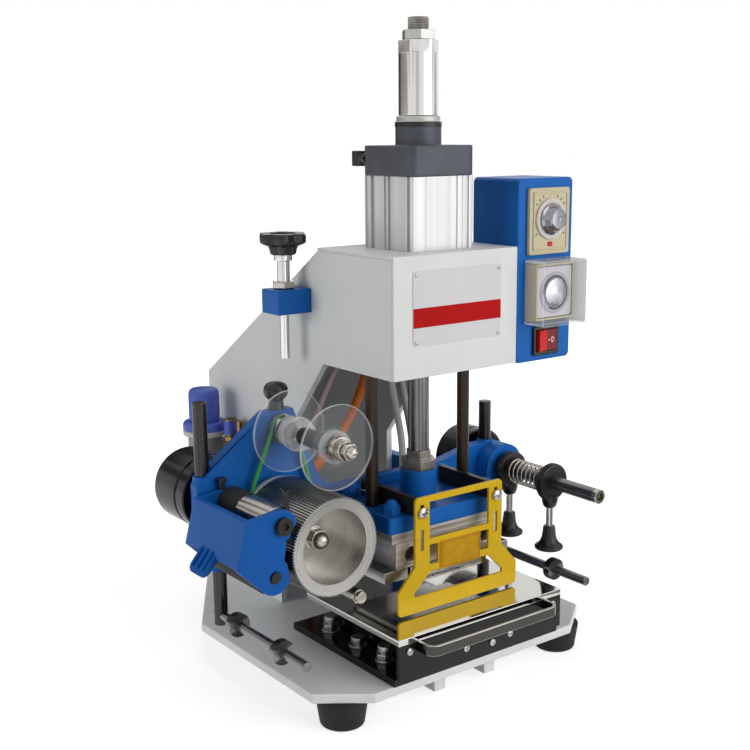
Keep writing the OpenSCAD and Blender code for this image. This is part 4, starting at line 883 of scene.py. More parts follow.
    def build(self) -> None:
        """Sets up the whole studio."""
        bpy.context.scene.view_settings.view_transform = "Standard"
        self.camera()
        self.world()
        front = (0.35, -0.9, 0.22)
        self.lamp("front_box", front, 2.6, 0.36, 2.2, mirrored=True)
        self.lamp("front_fill", front, 2.7, 0.36, 2.2)
        self.lamp("left_box", (-0.97, 0.2, 0.15), 2.4, 0.34, 1.4)
        self.lamp("top_box", (0.1, 0.1, 1.0), 2.2, 0.16, 1.2)
        self.floor()
        self.flag("flag_camera", 225, 1.9, (0.44, 1.5), "#b4b4b4")
        self.flag("flag_left", 128, 1.4, (2.3, 0.26), "#878381", 0.5)
        self.flag("flag_high", 345, 1.4, (0.26, 0.26), "#8c8c8c", 0.5)
        self.flag("flag_rear", 88, 1.4, (1.1, 1.0), "#3c3c3c")
        self.flag("flag_right", 11, 1.4, (1.8, 0.5), "#3c3c3c")
        self.flag("flag_ground", 303, 0.72, (0.9, 0.8), "#8c8b86", 0.002, lying=True)


@dataclass
class SubAssembly:
    """A named group of pieces, most of them on one body, with the calls that dress them and let them ride."""

    label: str
    body: str = "machine_frame"
    made: list[str] = field(default_factory=list)

    def put(self, piece: bpy.types.Object, slot: str, finish: Finish, edge: float = 0.0,
            middle: Vector | None = None, node: str = "", body: str = "") -> bpy.types.Object:
        """Finishes a new piece and lets it ride.

        Args:
            piece: the modelled object.
            slot: the record's material slot; not used.
            finish: its surface.
            edge: the width of its eased edges.
            middle: a point on its lathe axis.
            node: the node that it stands for, if any.
            body: the body that carries it, if not the group's own.

        Returns:
            The piece.
        """
        body = body or self.body
        if piece.type == "MESH" and not piece.data.has_custom_normals:
            soften(piece, edge)
        piece.data.materials.clear()
        piece.data.materials.append(finish.material(middle))
        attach(piece, body)
        if node:
            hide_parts(node)
        self.made.append(piece.name)
        LOG.info("%s: %s rides on %s", self.label, piece.name, body)
        return piece

    def loft(self, name: str, outline: Outline, rings: Outline, way: Way, foot: Vector, *dress: Any,
             **more: Any) -> bpy.types.Object:
        """Makes a lofted piece and lets it ride, with what put() takes after the piece."""
        return self.put(lofted(name, outline, rings, way, foot), *dress, **more)

    def lathe(self, name: str, profile: Outline, way: Way, foot: Vector, *dress: Any, sides: int = 48,
              **more: Any) -> bpy.types.Object:
        """Makes a turned piece and lets it ride, with what put() takes after the piece."""
        return self.put(turned(name, profile, way, foot, sides), *dress, **more)

    def eased(self, node: str, finish: Finish, edge: float, segments: int = 2,
              tool: bpy.types.Object | None = None) -> bpy.types.Object:
        """Copies a node, eases its edges and lets the copy stand for it.

        Args:
            node: the node's name.
            finish: its surface.
            edge: the width of its eased edges.
            segments: the facets across an edge.
            tool: a closed shape that is cut out of the copy.

        Returns:
            The copy.
        """
        source = frame["nodes"][node]
        fresh(source)
        bpy.ops.object.duplicate()
        piece = bpy.context.object
        piece.name = piece.data.name = f"{node}_dressed"
        del piece["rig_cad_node"], piece["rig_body"]
        bpy.ops.mesh.customdata_custom_splitnormals_clear()
        bpy.ops.object.mode_set(mode="EDIT")
        weld()
        bpy.ops.mesh.dissolve_limited(angle_limit=math.radians(0.5))
        bpy.ops.mesh.quads_convert_to_tris(quad_method="BEAUTY", ngon_method="BEAUTY")
        bpy.ops.object.mode_set(mode="OBJECT")
        if tool:
            carve(piece, tool)
        soften(piece, edge, segments)
        return self.put(piece, SLOTS[node], finish, node=node, body=source["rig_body"])

    def keep(self, node: str, finish: Finish) -> None:
        """Gives a node that stays as it is a finish.

        Args:
            node: the node's name.
            finish: its surface.
        """
        source = frame["nodes"][node]
        source.data.materials.clear()
        source.data.materials.append(finish.material())

    def paint(self, piece: bpy.types.Object, finish: Finish, inside: Callable[[Vector, Vector], bool],
              middle: Vector | None = None) -> None:
        """Gives some faces of a piece another finish.

        Args:
            piece: the dressed piece.
            finish: the other surface.
            inside: a test on a face's middle in machine millimetres and on its normal.
            middle: a point on its lathe axis.
        """
        piece.data.materials.append(finish.material(middle))
        last = len(piece.data.materials) - 1
        for face in piece.data.polygons:
            spot = (face.center - at(0, 0, 0)) / MM
            if inside(spot, face.normal):
                face.material_index = last

    def build(self) -> None:
        """Makes the group's pieces."""
        raise NotImplementedError


@dataclass
class MachineFrame(SubAssembly):
    """Base, feet, column, head housing, bed and the bare name plate."""

    plate: tuple[float, float] = (104.0, 67.0)
    plate_t: float = 0.8
    plate_z: float = 363.5
    plate_screw: tuple[float, float] = (48.5, 30.0)
    band: tuple[float, float] = (103.4, 17.4)
    band_z: float = 355.6
    washer: Outline = ((4.3, 0), (8.6, 0), (8.8, 0.3), (8.8, 1.3), (8.6, 1.6), (4.3, 1.6), (4.3, 0))
    washer_t: float = 1.6
    bolt_xs: tuple[float, float] = (82.0, -82.0)
    bolt_ys: tuple[float, float, float] = (34.0, -10.5, -51.5)

    def shell(self) -> None:
        """Dresses the sheet metal and the base."""
        # the base plate takes the lightened base enamel: painted light
        for node, finish, edge, segments in (
                ("base_plate", LIT_BASE_ENAMEL, 1.2, 3), ("side_plates", FRAME_ENAMEL, 0.6, 2),
                ("head_cover", FRAME_ENAMEL, 0.9, 3), ("rear_cover", FRAME_ENAMEL, 0.4, 2),
                ("head_floor", FRAME_ENAMEL, 0.4, 2), ("rubber_feet", RUBBER, 2.6, 4),
                ("table_bed", BLACK_ENAMEL, 0.7, 2), ("slide_rails", DRAWN_STEEL_Y, 0.4, 2),
                ("frame_bolts", ZINC, 0.7, 2), ("solenoid_valve", BLACK_MOULD, 0.8, 2)):
            self.eased(node, finish, edge, segments)
        self.keep("guide_bushes", BRONZE)

    def name_plate(self) -> None:
        """Screws the bare plate with its red band to the head's front."""
        face = -HEAD_FRONT - self.plate_t
        self.loft("name_plate", box_outline(*self.plate, 2.0), [(1, 0), (1, 0.5), (0.992, self.plate_t)],
                  Way.FRONT, at(0, -HEAD_FRONT, self.plate_z), "frame_paint", PLATE_WHITE)
        self.loft("plate_band", box_outline(*self.band, 0.6), [(1, 0), (1, 0.12), (0.998, 0.2)], Way.FRONT,
                  at(0, face, self.band_z), "frame_paint", PRINT_RED)
        side, rise = self.plate_screw
        first = pan_screw("plate_screw_1", 3.4, Way.FRONT, at(-side, face, self.plate_z - rise), 35)
        shifts = ((2 * side, 0), (0, 2 * rise), (2 * side, 2 * rise))
        twins = [copied(first, f"plate_screw_{k}", Vector((dx, 0, dz)) * MM)
                 for k, (dx, dz) in enumerate(shifts, 2)]
        for screw in (*twins, first):
            self.put(screw, "bright_steel", ZINC)

    def bolts(self) -> None:
        """Puts a washer under each bolt of the bed, and a nut under those at its corners."""
        washer = turned("bed_washer", self.washer, Way.UP, at(0, 0, BED_TOP), 32)
        nut = hex_nut("bed_nut", 13.5, 6.0, Way.UP, at(0, 0, BED_TOP + self.washer_t))
        for k, (x, y) in enumerate((x, y) for x in self.bolt_xs for y in self.bolt_ys):
            shift = Vector((x, y, 0)) * MM
            self.put(copied(washer, f"bed_washer_{k}", shift), "bright_steel", ZINC)
            if y != self.bolt_ys[1]:
                self.put(copied(nut, f"bed_nut_{k}", shift), "bright_steel", ZINC, 0.3)
        for pattern in (washer, nut):
            bpy.data.objects.remove(pattern, do_unlink=True)

    def build(self) -> None:
        """Makes the frame's pieces."""
        self.shell()
        self.name_plate()
        self.bolts()


@dataclass
class AirCylinder(SubAssembly):
    """The fluted barrel, the cast caps, the chrome stroke sleeve and the threaded stud."""

    half: float = 36.0
    corner: float = 3.0
    front_side: Outline = (
        (-33, 1.7), (-31, 0.9), (-28, 0.3), (-24, 0), (-21.6, 0), (-21.3, 0.5), (-20.4, 0.5), (-20.1, 0),
        (14, 0), (14.3, 1.4), (16.3, 1.4), (16.6, 0), (20.6, 0), (20.9, 0.8), (22.3, 0.8), (22.6, 0),
        (27.4, 0), (27.7, 1.6), (29.8, 1.6), (30.1, 0))
    groove_side: Outline = (
        (-32.4, 0), (-32.1, 1.6), (-30.8, 1.6), (-30.5, 0), (-25, 0), (-24.7, 3.2), (-21.4, 3.2),
        (-21.1, 1.2), (-18.6, 1.2), (-18.3, 0), (-5, 0), (-4.7, 2.4), (-2.4, 2.4), (-2.1, 0), (0.8, 0),
        (1.1, 2.4), (4.3, 2.4), (4.6, 0), (28.4, 0), (28.7, 3.4), (31.9, 3.4), (32.2, 0))
    bore: float = 31.5
    barrel_top: float = 477.0
    seal: Outline = ((17, 520.2), (21.2, 520.2), (21.4, 520.6), (21.4, 524.2), (21.2, 524.6), (17, 524.6),
                     (17, 520.2))
    ring_foot: float = 524.7
    stud: tuple[float, float] = (604.6, 616.3)
    thread: tuple[float, float, float] = (9.1, 9.55, 1.5)

    def barrel(self) -> None:
        """Extrudes the barrel with a drawn outline on each side."""
        reach = self.half - self.corner
        bend = [(reach + u, reach + v) for u, v in (polar(self.corner, math.pi / 12 * k) for k in range(7))]
        points = []
        for quarter, side in enumerate((self.groove_side,) * 3 + (self.front_side,)):
            flat = [(self.half - depth, u) for u, depth in side]
            points += spun(flat + bend, math.pi / 2 * quarter)
        barrel = lofted("barrel_extrusion", points, [(1, HEAD_TOP), (1, self.barrel_top)], Way.UP,
                        at(0, 0, 0))
        carve(barrel, turned("bore", [(self.bore, HEAD_TOP - 5), (self.bore, self.barrel_top + 5)], Way.UP,
                             at(0, 0, 0), 64))
        self.put(barrel, "barrel_aluminium", DRAWN_ALUMINIUM, 0.25, node="cylinder_barrel")

    def caps(self) -> None:
        """Dresses the caps, the ring and the sleeve, and threads the stud."""
        caps = self.eased("cylinder_caps", CAST_GREY, 1.3, 3)
        self.paint(caps, CAP_RING, lambda p, n: p.z > self.ring_foot)
        self.lathe("boss_seal", self.seal, Way.UP, at(0, 0, 0), "black_plastic", BLACK_MOULD, sides=64)
        # the sleeve's vertical streaks are partly draw marks and partly painted reflection
        self.eased("adjuster_sleeve", SLEEVE_CHROME, 0.5)
        low, high = self.stud
        tall = high - low
        root, crest, pitch = self.thread
        rings = []
        for k in range(int(tall / pitch)):
            rings += [(root, k * pitch), (crest, k * pitch + 0.6), (crest, k * pitch + 0.8)]
        rings += [(9.0, tall - 0.9), (8.0, tall), (1.0, tall)]
        self.lathe("stud_thread", rings, Way.UP, at(0, 0, low), "bright_steel", THREAD_STEEL, sides=40,
                   body="press_head")

    def build(self) -> None:
        """Makes the cylinder's pieces."""
        self.barrel()
        self.caps()


@dataclass
class ControlBox(SubAssembly):
    """The blue box with its temperature controller, timer under a clear cover, and switch."""

    dial_x: float = 110.0
    temperature_z: float = 435.04
    temperature_middle: float = 433.04
    timer_z: float = 366.47
    timer_middle: float = 367.47
    switch_z: float = 319.55
    switch_height: float = 20.42
    bezel_y: float = -60.0
    housing_y: float = -56.5
    dial_y: float = -62.0
    border: Outline = ((1, 0), (1, 0.9), (0.985, 1.3), (0.95, 1.3), (0.94, 0.5), (0.05, 0.5))
    dial: Outline = ((18.6, 0), (19.2, 1.4), (18.8, 2.6), (17.2, 3.0), (16.2, 2.7), (1, 2.7))
    knob: Outline = ((15.0, 0.8), (15.2, 2.0), (14.0, 2.6), (12.4, 3.4), (10.6, 9.4), (9.0, 10.6),
                     (2.4, 10.7), (2.2, 10.2), (0.2, 10.2))
    tick: Outline = ((-0.5, -1.3), (0.5, -1.3), (0.5, 1.3), (-0.5, 1.3))
    tick_angles: tuple[float, ...] = (38, 52, 66, 114, 128, 142, 218, 322)
    tick_radius: float = 22.6
    housing: Outline = ((1, 0), (0.94, 12.2), (0.93, 12.5), (0.88, 12.5), (0.87, 12.2), (0.93, 0), (1, 0))
    timer_dial: Outline = ((19.6, 7.7), (19.8, 8.5), (19.0, 9.1), (16.6, 8.8), (1, 8.8))
    timer_knob: Outline = ((13.6, 7.2), (13.8, 7.8), (13.4, 8.4), (9.0, 9.2), (2.2, 10.0), (0.2, 10.2))
    arc_radii: tuple[float, float] = (16.4, 14.4)
    arc_steps: int = 40
    cover_edge: float = 138.5
    rocker: Outline = ((-12.6, 2), (-12.6, -7.5), (0, -6), (12.6, -7.5), (12.6, 2), (0, 4))
    rocker_y: float = -53.0
    rocker_lean: float = 7.0
    rocker_face: float = -58.9
    mark_ring: Outline = ((1.2, 0), (1.9, 0), (1.9, 0.25), (1.2, 0.25), (1.2, 0))

    def temperature(self) -> None:
        """Makes the temperature controller's stepped border, dial, marks and knob."""
        x, y, z = self.dial_x, self.bezel_y, self.temperature_z
        spot = at(x, y, z)
        self.eased("temperature_controller", BEIGE_MOULD, 0.8, 3)
        self.loft("controller_border", box_outline(44, 54, 1.6), self.border, Way.FRONT,
                  at(x, y, self.temperature_middle), "bezel_plastic", BEIGE_MOULD)
        self.lathe("controller_dial", self.dial, Way.FRONT, spot, "bezel_plastic", PALE_MOULD, sides=64)
        self.loft("controller_knob", circle(12), self.knob, Way.FRONT, at(x, self.dial_y, z),
                  "dial_aluminium", SPUN_ALUMINIUM, 0.25, spot, "temperature_knob", "temperature_knob")
        tick = lofted("controller_tick", self.tick, [(1, 0), (1, 0.12), (0.9, 0.2)], Way.FRONT, Vector())
        for k, angle in enumerate(self.tick_angles):
            swing = math.radians(angle)
            across, rise = polar(self.tick_radius, swing)
            mark = copied(tick, f"controller_tick_{k}", Vector())
            mark.data.transform(Matrix.Rotation(math.pi / 2 - swing, 4, "Y"))
            mark.data.transform(Matrix.Translation(at(x + across, y - 0.5, z + rise)))
            self.put(mark, "black_plastic", PRINT_DARK)
        bpy.data.objects.remove(tick, do_unlink=True)
        self.loft("controller_lamp", box_outline(6, 4.4, 1.0), [(1, 0), (1, 0.5), (0.85, 0.9), (0.1, 1.0)],
                  Way.FRONT, at(x, y - 0.5, self.temperature_middle - 21.5), "red_plastic", RED_BRIGHT)

    def timer(self) -> None:
        """Makes the timer's housing, plate, dial, arc and spun knob under the clear cover."""
        x, y, z = self.dial_x, self.bezel_y, self.timer_z
        spot = at(x, y, z)
        self.eased("timer_unit", BEIGE_MOULD, 0.8, 3)
        self.loft("timer_housing", box_outline(52.2, 56.4, 2.0), self.housing, Way.FRONT,
                  at(x, self.housing_y, self.timer_middle), "bezel_plastic", BEIGE_MOULD)
        self.loft("timer_plate", box_outline(44.6, 48.2, 3.0), [(1, 0), (1, 7.6), (0.985, 8.2)], Way.FRONT,
                  at(x, y, self.timer_middle), "bezel_plastic", WHITE_MOULD)
        self.lathe("timer_dial", self.timer_dial, Way.FRONT, spot, "bezel_plastic", LILAC_MOULD, sides=64)
        angles = [math.radians(-120 + 300 * k / self.arc_steps) for k in range(self.arc_steps + 1)]
        outer, inner = self.arc_radii
        band = [polar(outer, a) for a in angles] + [polar(inner, a) for a in reversed(angles)]
        self.loft("timer_arc", band, [(1, 8.7), (1, 9.1)], Way.FRONT, spot, "black_plastic", PRINT_DARK)
        self.lathe("timer_dial_knob", self.timer_knob, Way.FRONT, at(x, self.dial_y, z), "dial_aluminium",
                   SPUN_PALE, 0.2, spot, "timer_knob", "timer_knob", sides=64)
        cover = self.eased("timer_cover", ACRYLIC, 0.9, 3)
        # the top and bottom walls, the bevels and the edge take whiter, more opaque acrylic as painted
        # reflection and painted highlight; the side walls take a clearer one
        self.paint(cover, ACRYLIC_WALL, lambda p, n: abs(n.z) > FLAT_FACE)
        self.paint(cover, ACRYLIC_SIDE, lambda p, n: abs(n.x) > FLAT_FACE)
        self.paint(cover, ACRYLIC_RIM, lambda p, n: max(abs(v) for v in n) < FLAT_FACE
                   or abs(p.x - self.cover_edge) < 1.6)

    def switch(self) -> None:
        """Makes the rocker, its left half painted as lit and its right half as shaded, with its plain marks.
        """
        x, y, z = self.dial_x, self.rocker_face, self.switch_z
        self.eased("switch_frame", BLACK_MOULD, 0.6)
        half = (self.switch_height - 0.2) / 2
        rocker = self.loft("two_tone_rocker", spun(self.rocker, math.radians(self.rocker_lean)),
                           [(1, -half), (1, half)], Way.UP, at(x, self.rocker_y, z), "red_plastic", RED_DARK,
                           0.35, node="power_rocker", body="power_rocker")
        # the left half takes the bright red as painted light and the right half keeps the dark red as painted
        # shade
        self.paint(rocker, RED_BRIGHT, lambda p, n: p.x < x + 0.6)
        self.loft("rocker_mark_bar", box_outline(2.2, 1.0, 0.3), [(1, 0), (1, 0.25)], Way.FRONT,
                  at(x + 3.4, y, z), "red_plastic", PRINT_WHITE, body="power_rocker")
        ring = turned("rocker_mark_ring", self.mark_ring, Way.FRONT, at(x + 7.8, y, z), 28)
        level = Matrix.Translation(at(0, 0, z))
        ring.data.transform(level @ Matrix.Diagonal((1.0, 1.0, 1.45, 1.0)) @ level.inverted())
        self.put(ring, "red_plastic", PRINT_WHITE, body="power_rocker")

    def build(self) -> None:
        """Makes the box's pieces."""
        self.eased("control_box", BLUE_ENAMEL, 1.6, 3)
        self.temperature()
        self.timer()
        self.switch()


@dataclass
class AirUnit(SubAssembly):
    """The regulator, the brass inlet, the clamp with its star screw, and the hoses and leads."""

    orange: Route = (
        (22, 36.3, 395), (22, 48, 395), (22, 62, 389), (16, 92, 341), (12, 100, 275.5), (-15, 102, 219.5),
        (-48, 106, 183.5), (-50, 128, 151.5), (-20, 165, 111.5), (2, 202, 104), (4, 206, 70.3))
    upper: Route = (
        (-13.7, 50, 492), (-6, 50, 491), (2, 50, 480), (3, 50, 457), (3, 50, 419), (3, 51, 387),
        (-4, 78, 335.5), (-28, 100, 281.5), (-44, 118, 223.5), (-46, 150, 161.5), (-44, 180, 129.5),
        (-16, 203, 110), (-14, 206, 70.3))
    lead: Route = (
        (14, 48.3, 305.5), (14, 52, 305.5), (14, 56, 305.5), (14, 63, 301.5), (15, 67, 293.5),
        (17, 64, 269.5), (29, 65, 217.5), (27, 59, 195), (27, 59, 181.3))
    lead_gap: float = 13.0
    regulator: tuple[float, float] = (-103.0, 233.0)
    shell: Outline = ((13, 158), (16.5, 160), (18, 163), (18, 200), (17, 203), (3, 203))
    collar: Outline = ((19, 203), (22.4, 203.3), (23, 204.2), (23, 208.2), (22.6, 208.8), (4, 208.8))
    band: Outline = ((22.6, 208.8), (23, 209.4), (23, 214.6), (21.6, 217), (18.5, 218), (4, 218))
    grip: Outline = ((0.96, 0.4), (1, 1.2), (1, 27), (0.985, 30), (0.93, 32.6), (0.82, 34), (0.6, 34.5),
                     (0.05, 34.6))
    inlet: tuple[float, float] = (-91.0, 199.0)
    push_in: Outline = ((5.6, 0), (7.2, 0.6), (7.4, 2), (7.4, 13), (6.8, 15.5), (5, 16.4), (3.6, 16.4))
    elbow_foot: float = 400.0
    star: tuple[float, float] = (-93.0, 87.0)
    star_knob: Outline = (
        (0.5, 0), (0.56, 1.0), (0.6, 5.0), (0.66, 8.0), (0.93, 10.5), (0.99, 11.6), (1, 13), (1, 17.6),
        (0.98, 19), (0.93, 19.9), (0.6, 20), (0.56, 19), (0.54, 17.2), (0.05, 17.0))
    star_stem: Outline = ((4.25, 305), (4.25, 371.9), (6, 372), (6, 398), (8.2, 398.3), (8.6, 399),
                          (8.6, 404.2), (3, 404.4))

    def hoses(self) -> None:
        """Lays the two air hoses and the two heater leads along their routes."""
        second = tuple((x + self.lead_gap, y, z) for x, y, z in self.lead)
        for name, route, width, finish, node in (
                ("supply_hose", self.orange, 9.0, ORANGE_HOSE, "hoses_and_leads"),
                ("upper_hose", self.upper, 7.0, PALE_HOSE, ""),
                ("heater_lead_1", self.lead, 7.0, GREY_LEAD, ""),
                ("heater_lead_2", second, 7.0, GREY_LEAD, "")):
            line = smooth_route(route, 4)
            hose = curved(name, line, width / 2)
            self.put(hose, "hose_plastic", finish, node=node)

    def regulate(self) -> None:
        """Turns the regulator's body, bands and knob."""
        x, y = self.regulator
        spot = at(x, y, 0)
        self.lathe("regulator_body", self.shell, Way.UP, spot, "cap_paint", GREY_CAST, node="air_regulator")
        self.loft("regulator_bracket", box_outline(24, 20, 2), [(1, 0), (1, 30)], Way.RIGHT, at(x, y, 182),
                  "cap_paint", GREY_CAST, 0.6)
        self.lathe("regulator_collar", self.collar, Way.UP, spot, "cap_paint", PALE_MOULD)
        self.lathe("regulator_band", self.band, Way.UP, spot, "blue_plastic", BLUE_MOULD)
        self.loft("regulator_grip", waved(16.2, 0.45, 36, 4), self.grip, Way.UP, at(x, y, 218),
                  "blue_plastic", BLUE_MOULD, node="regulator_knob", body="regulator_knob")

    def fittings(self) -> None:
        """Dresses the brass inlet block and its push-in ends."""
        block = self.eased("air_fittings", BRASS, 0.8)
        self.paint(block, BLACK_MOULD, lambda p, n: p.z > self.elbow_foot)
        self.lathe("push_in_sleeve", self.push_in, Way.UP, at(*self.inlet, 207.6), "blue_plastic",
                   BLUE_MOULD, 0.3)
        self.put(hex_nut("inlet_nut", 12, 6, Way.UP, at(*self.inlet, 200)), "fitting_brass", BRASS, 0.3)

    def star_screw(self) -> None:
        """Models the lobed hand knob on its silver screw."""
        self.eased("clamp_block", BLUE_ENAMEL, 1.3, 3)
        spot = at(*self.star, 0)
        self.loft("star_knob", waved(23.5, 4.2, 6, 12, 1.3), self.star_knob, Way.UP, at(*self.star, 404),
                  "black_plastic", BLACK_MOULD, node="star_screw", body="star_screw")
        self.lathe("star_stem", self.star_stem, Way.UP, spot, "chrome_steel", CHROME_Z, 0.2, spot,
                   body="star_screw")
        self.put(hex_nut("star_nut", 20, 6.5, Way.UP, at(*self.star, 372.3)), "chrome_steel", NICKEL, 0.4,
                 body="star_screw")

    def build(self) -> None:
        """Makes the air unit's pieces."""
        self.hoses()
        self.regulate()
        self.fittings()
        self.star_screw()


@dataclass
class PressHead(SubAssembly):
    """The head plate, heater stack, guide rods, rod nut and the yellow guard."""

    body: str = "press_head"
    nut_step: Outline = ((12.4, 209.6), (30, 209.6), (30, 222), (12.4, 222), (12.4, 209.6))
    nut_zs: tuple[float, float] = (199.0, 219.0)
    guard_face: float = -61.0
    guard_screws: tuple[float, float] = (-45.0, 45.0)
    guard_screw_z: float = 178.7
    plaque_z: float = 134.0
    plaque_line: Outline = ((1, 0), (1, 0.15), (0.975, 0.15), (0.975, 0), (1, 0))
    lead_spot: tuple[float, float, float] = (-42.0, 30.0, 173.0)
    lead_cap: Outline = ((3.6, 6), (4.2, 6.5), (4.2, 14), (3.4, 16), (1, 16.2))

    def stack(self) -> None:
        """Dresses the plates from the blue head plate down to the die."""
        self.eased("head_plate", BLUE_ENAMEL, 0.9, 3)
        for node, finish, edge in (
                ("insulation_plate", HEAT_BOARD, 0.4), ("heater_block", MILLED_ALUMINIUM, 0.7),
                ("heater_cartridges", BLACK_OXIDE, 0.5), ("die_rails", ZINC, 0.5), ("die_plate", CHROME, 0.4),
                ("guard_arms", BLACK_OXIDE, 0.5), ("press_guide_rods", OILED_STEEL, 0.6)):
            self.eased(node, finish, edge)
        # the piston rod's dark grey and dark streaks are painted reflection
        self.keep("piston_rod", ROD_STEEL)
        step = lofted("nut_step", circle(6), self.nut_step, Way.UP, at(0, 0, 0))
        fasteners = self.eased("head_fasteners", ZINC, 0.6, tool=step)
        low, high = self.nut_zs
        self.paint(fasteners, THREAD_STEEL, lambda p, n: low < p.z < high and abs(p.y) < 20)

    def guard(self) -> None:
        """Dresses the guard and adds its slotted screws and the plaque's red line."""
        guard = self.eased("guard_plate", YELLOW_LACQUER, 0.6)
        self.paint(guard, AMBER_LACQUER, lambda p, n: p.y < self.guard_face - 0.6)
        for k, x in enumerate(self.guard_screws):
            spot = at(x, self.guard_face - 0.1, self.guard_screw_z)
            screw = pan_screw(f"guard_screw_{k}", 11.0, Way.FRONT, spot, 65 - 50 * k)
            self.put(screw, "chrome_steel", CHROME)
        self.loft("plaque_line", box_outline(46, 24, 1.0), self.plaque_line, Way.FRONT,
                  at(0, self.guard_face - 1.5, self.plaque_z), "yellow_paint", PRINT_RED)

    def small_parts(self) -> None:
        """Adds the cap and nut beside the left guide rod."""
        spot = at(*self.lead_spot)
        self.put(hex_nut("lead_nut", 9, 6, Way.UP, spot), "bright_steel", NICKEL, 0.3)
        self.lathe("lead_cap", self.lead_cap, Way.UP, spot, "black_plastic", BLACK_MOULD, sides=28)

    def build(self) -> None:
        """Makes the press head's pieces."""
        self.stack()
        self.guard()
        self.small_parts()


@dataclass
class SlidingTable(SubAssembly):
    """The mirror table, its gloss black apron with zinc screws, and the strip handle."""

    body: str = "work_table"
    face: float = -95.6
    screws: Outline = ((-88, 69), (88, 69), (-22, 54), (10, 51), (32, 54))

    def build(self) -> None:
        """Makes the table's pieces."""
        self.eased("table_top", MIRROR_STEEL, 0.6, 3)
        self.eased("table_carriage", BLACK_ENAMEL, 0.6)
        # the strip's faces take the darkened chrome as painted reflection, and its faces turned up or down
        # the bright chrome as painted highlight
        handle = self.eased("table_handle", HANDLE_DARK_REFLECTION, 1.1, 4)
        self.paint(handle, CHROME, lambda p, n: abs(n.z) > 0.3)
        for k, (x, z) in enumerate(self.screws):
            screw = pan_screw(f"apron_screw_{k}", 7.0, Way.FRONT, at(x, self.face, z), 15 + 40 * k)
            self.put(screw, "bright_steel", ZINC)


@dataclass
class FoilArm(SubAssembly):
    """The blue cross arm with its posts, lower rods, guide roller and mushroom knob."""

    rod_z: float = 78.0
    pin_x: float = -104.0
    knob: tuple[float, float, float] = (-123.0, 58.0, 265.0)
    mushroom: Outline = (
        (8.0, 0.3), (7.6, 2.0), (7.0, 4.0), (6.8, 8.0), (8.0, 10.0), (10.4, 12.4), (11.4, 15.0), (11.4, 18.6),
        (10.6, 21.6), (8.4, 24.0), (5.0, 25.4), (0.5, 25.8))

    def build(self) -> None:
        """Makes the arm's pieces."""
        self.eased("foil_arm", BLUE_ENAMEL, 1.0, 3)
        self.eased("foil_posts", DRAWN_STEEL_Z, 0.7)
        rods = self.eased("foil_rods", DRAWN_STEEL_Y, 0.5)
        self.paint(rods, BLACK_OXIDE, lambda p, n: abs(p.z - self.rod_z) > 5.2 and p.z < 92)
        self.paint(rods, NICKEL, lambda p, n: abs(p.x - self.pin_x) < 12)
        self.eased("guide_roller", NICKEL, 0.4)
        self.lathe("mushroom_knob", self.mushroom, Way.UP, at(*self.knob), "black_plastic", BLACK_MOULD,
                   node="arm_knob", body="arm_knob")


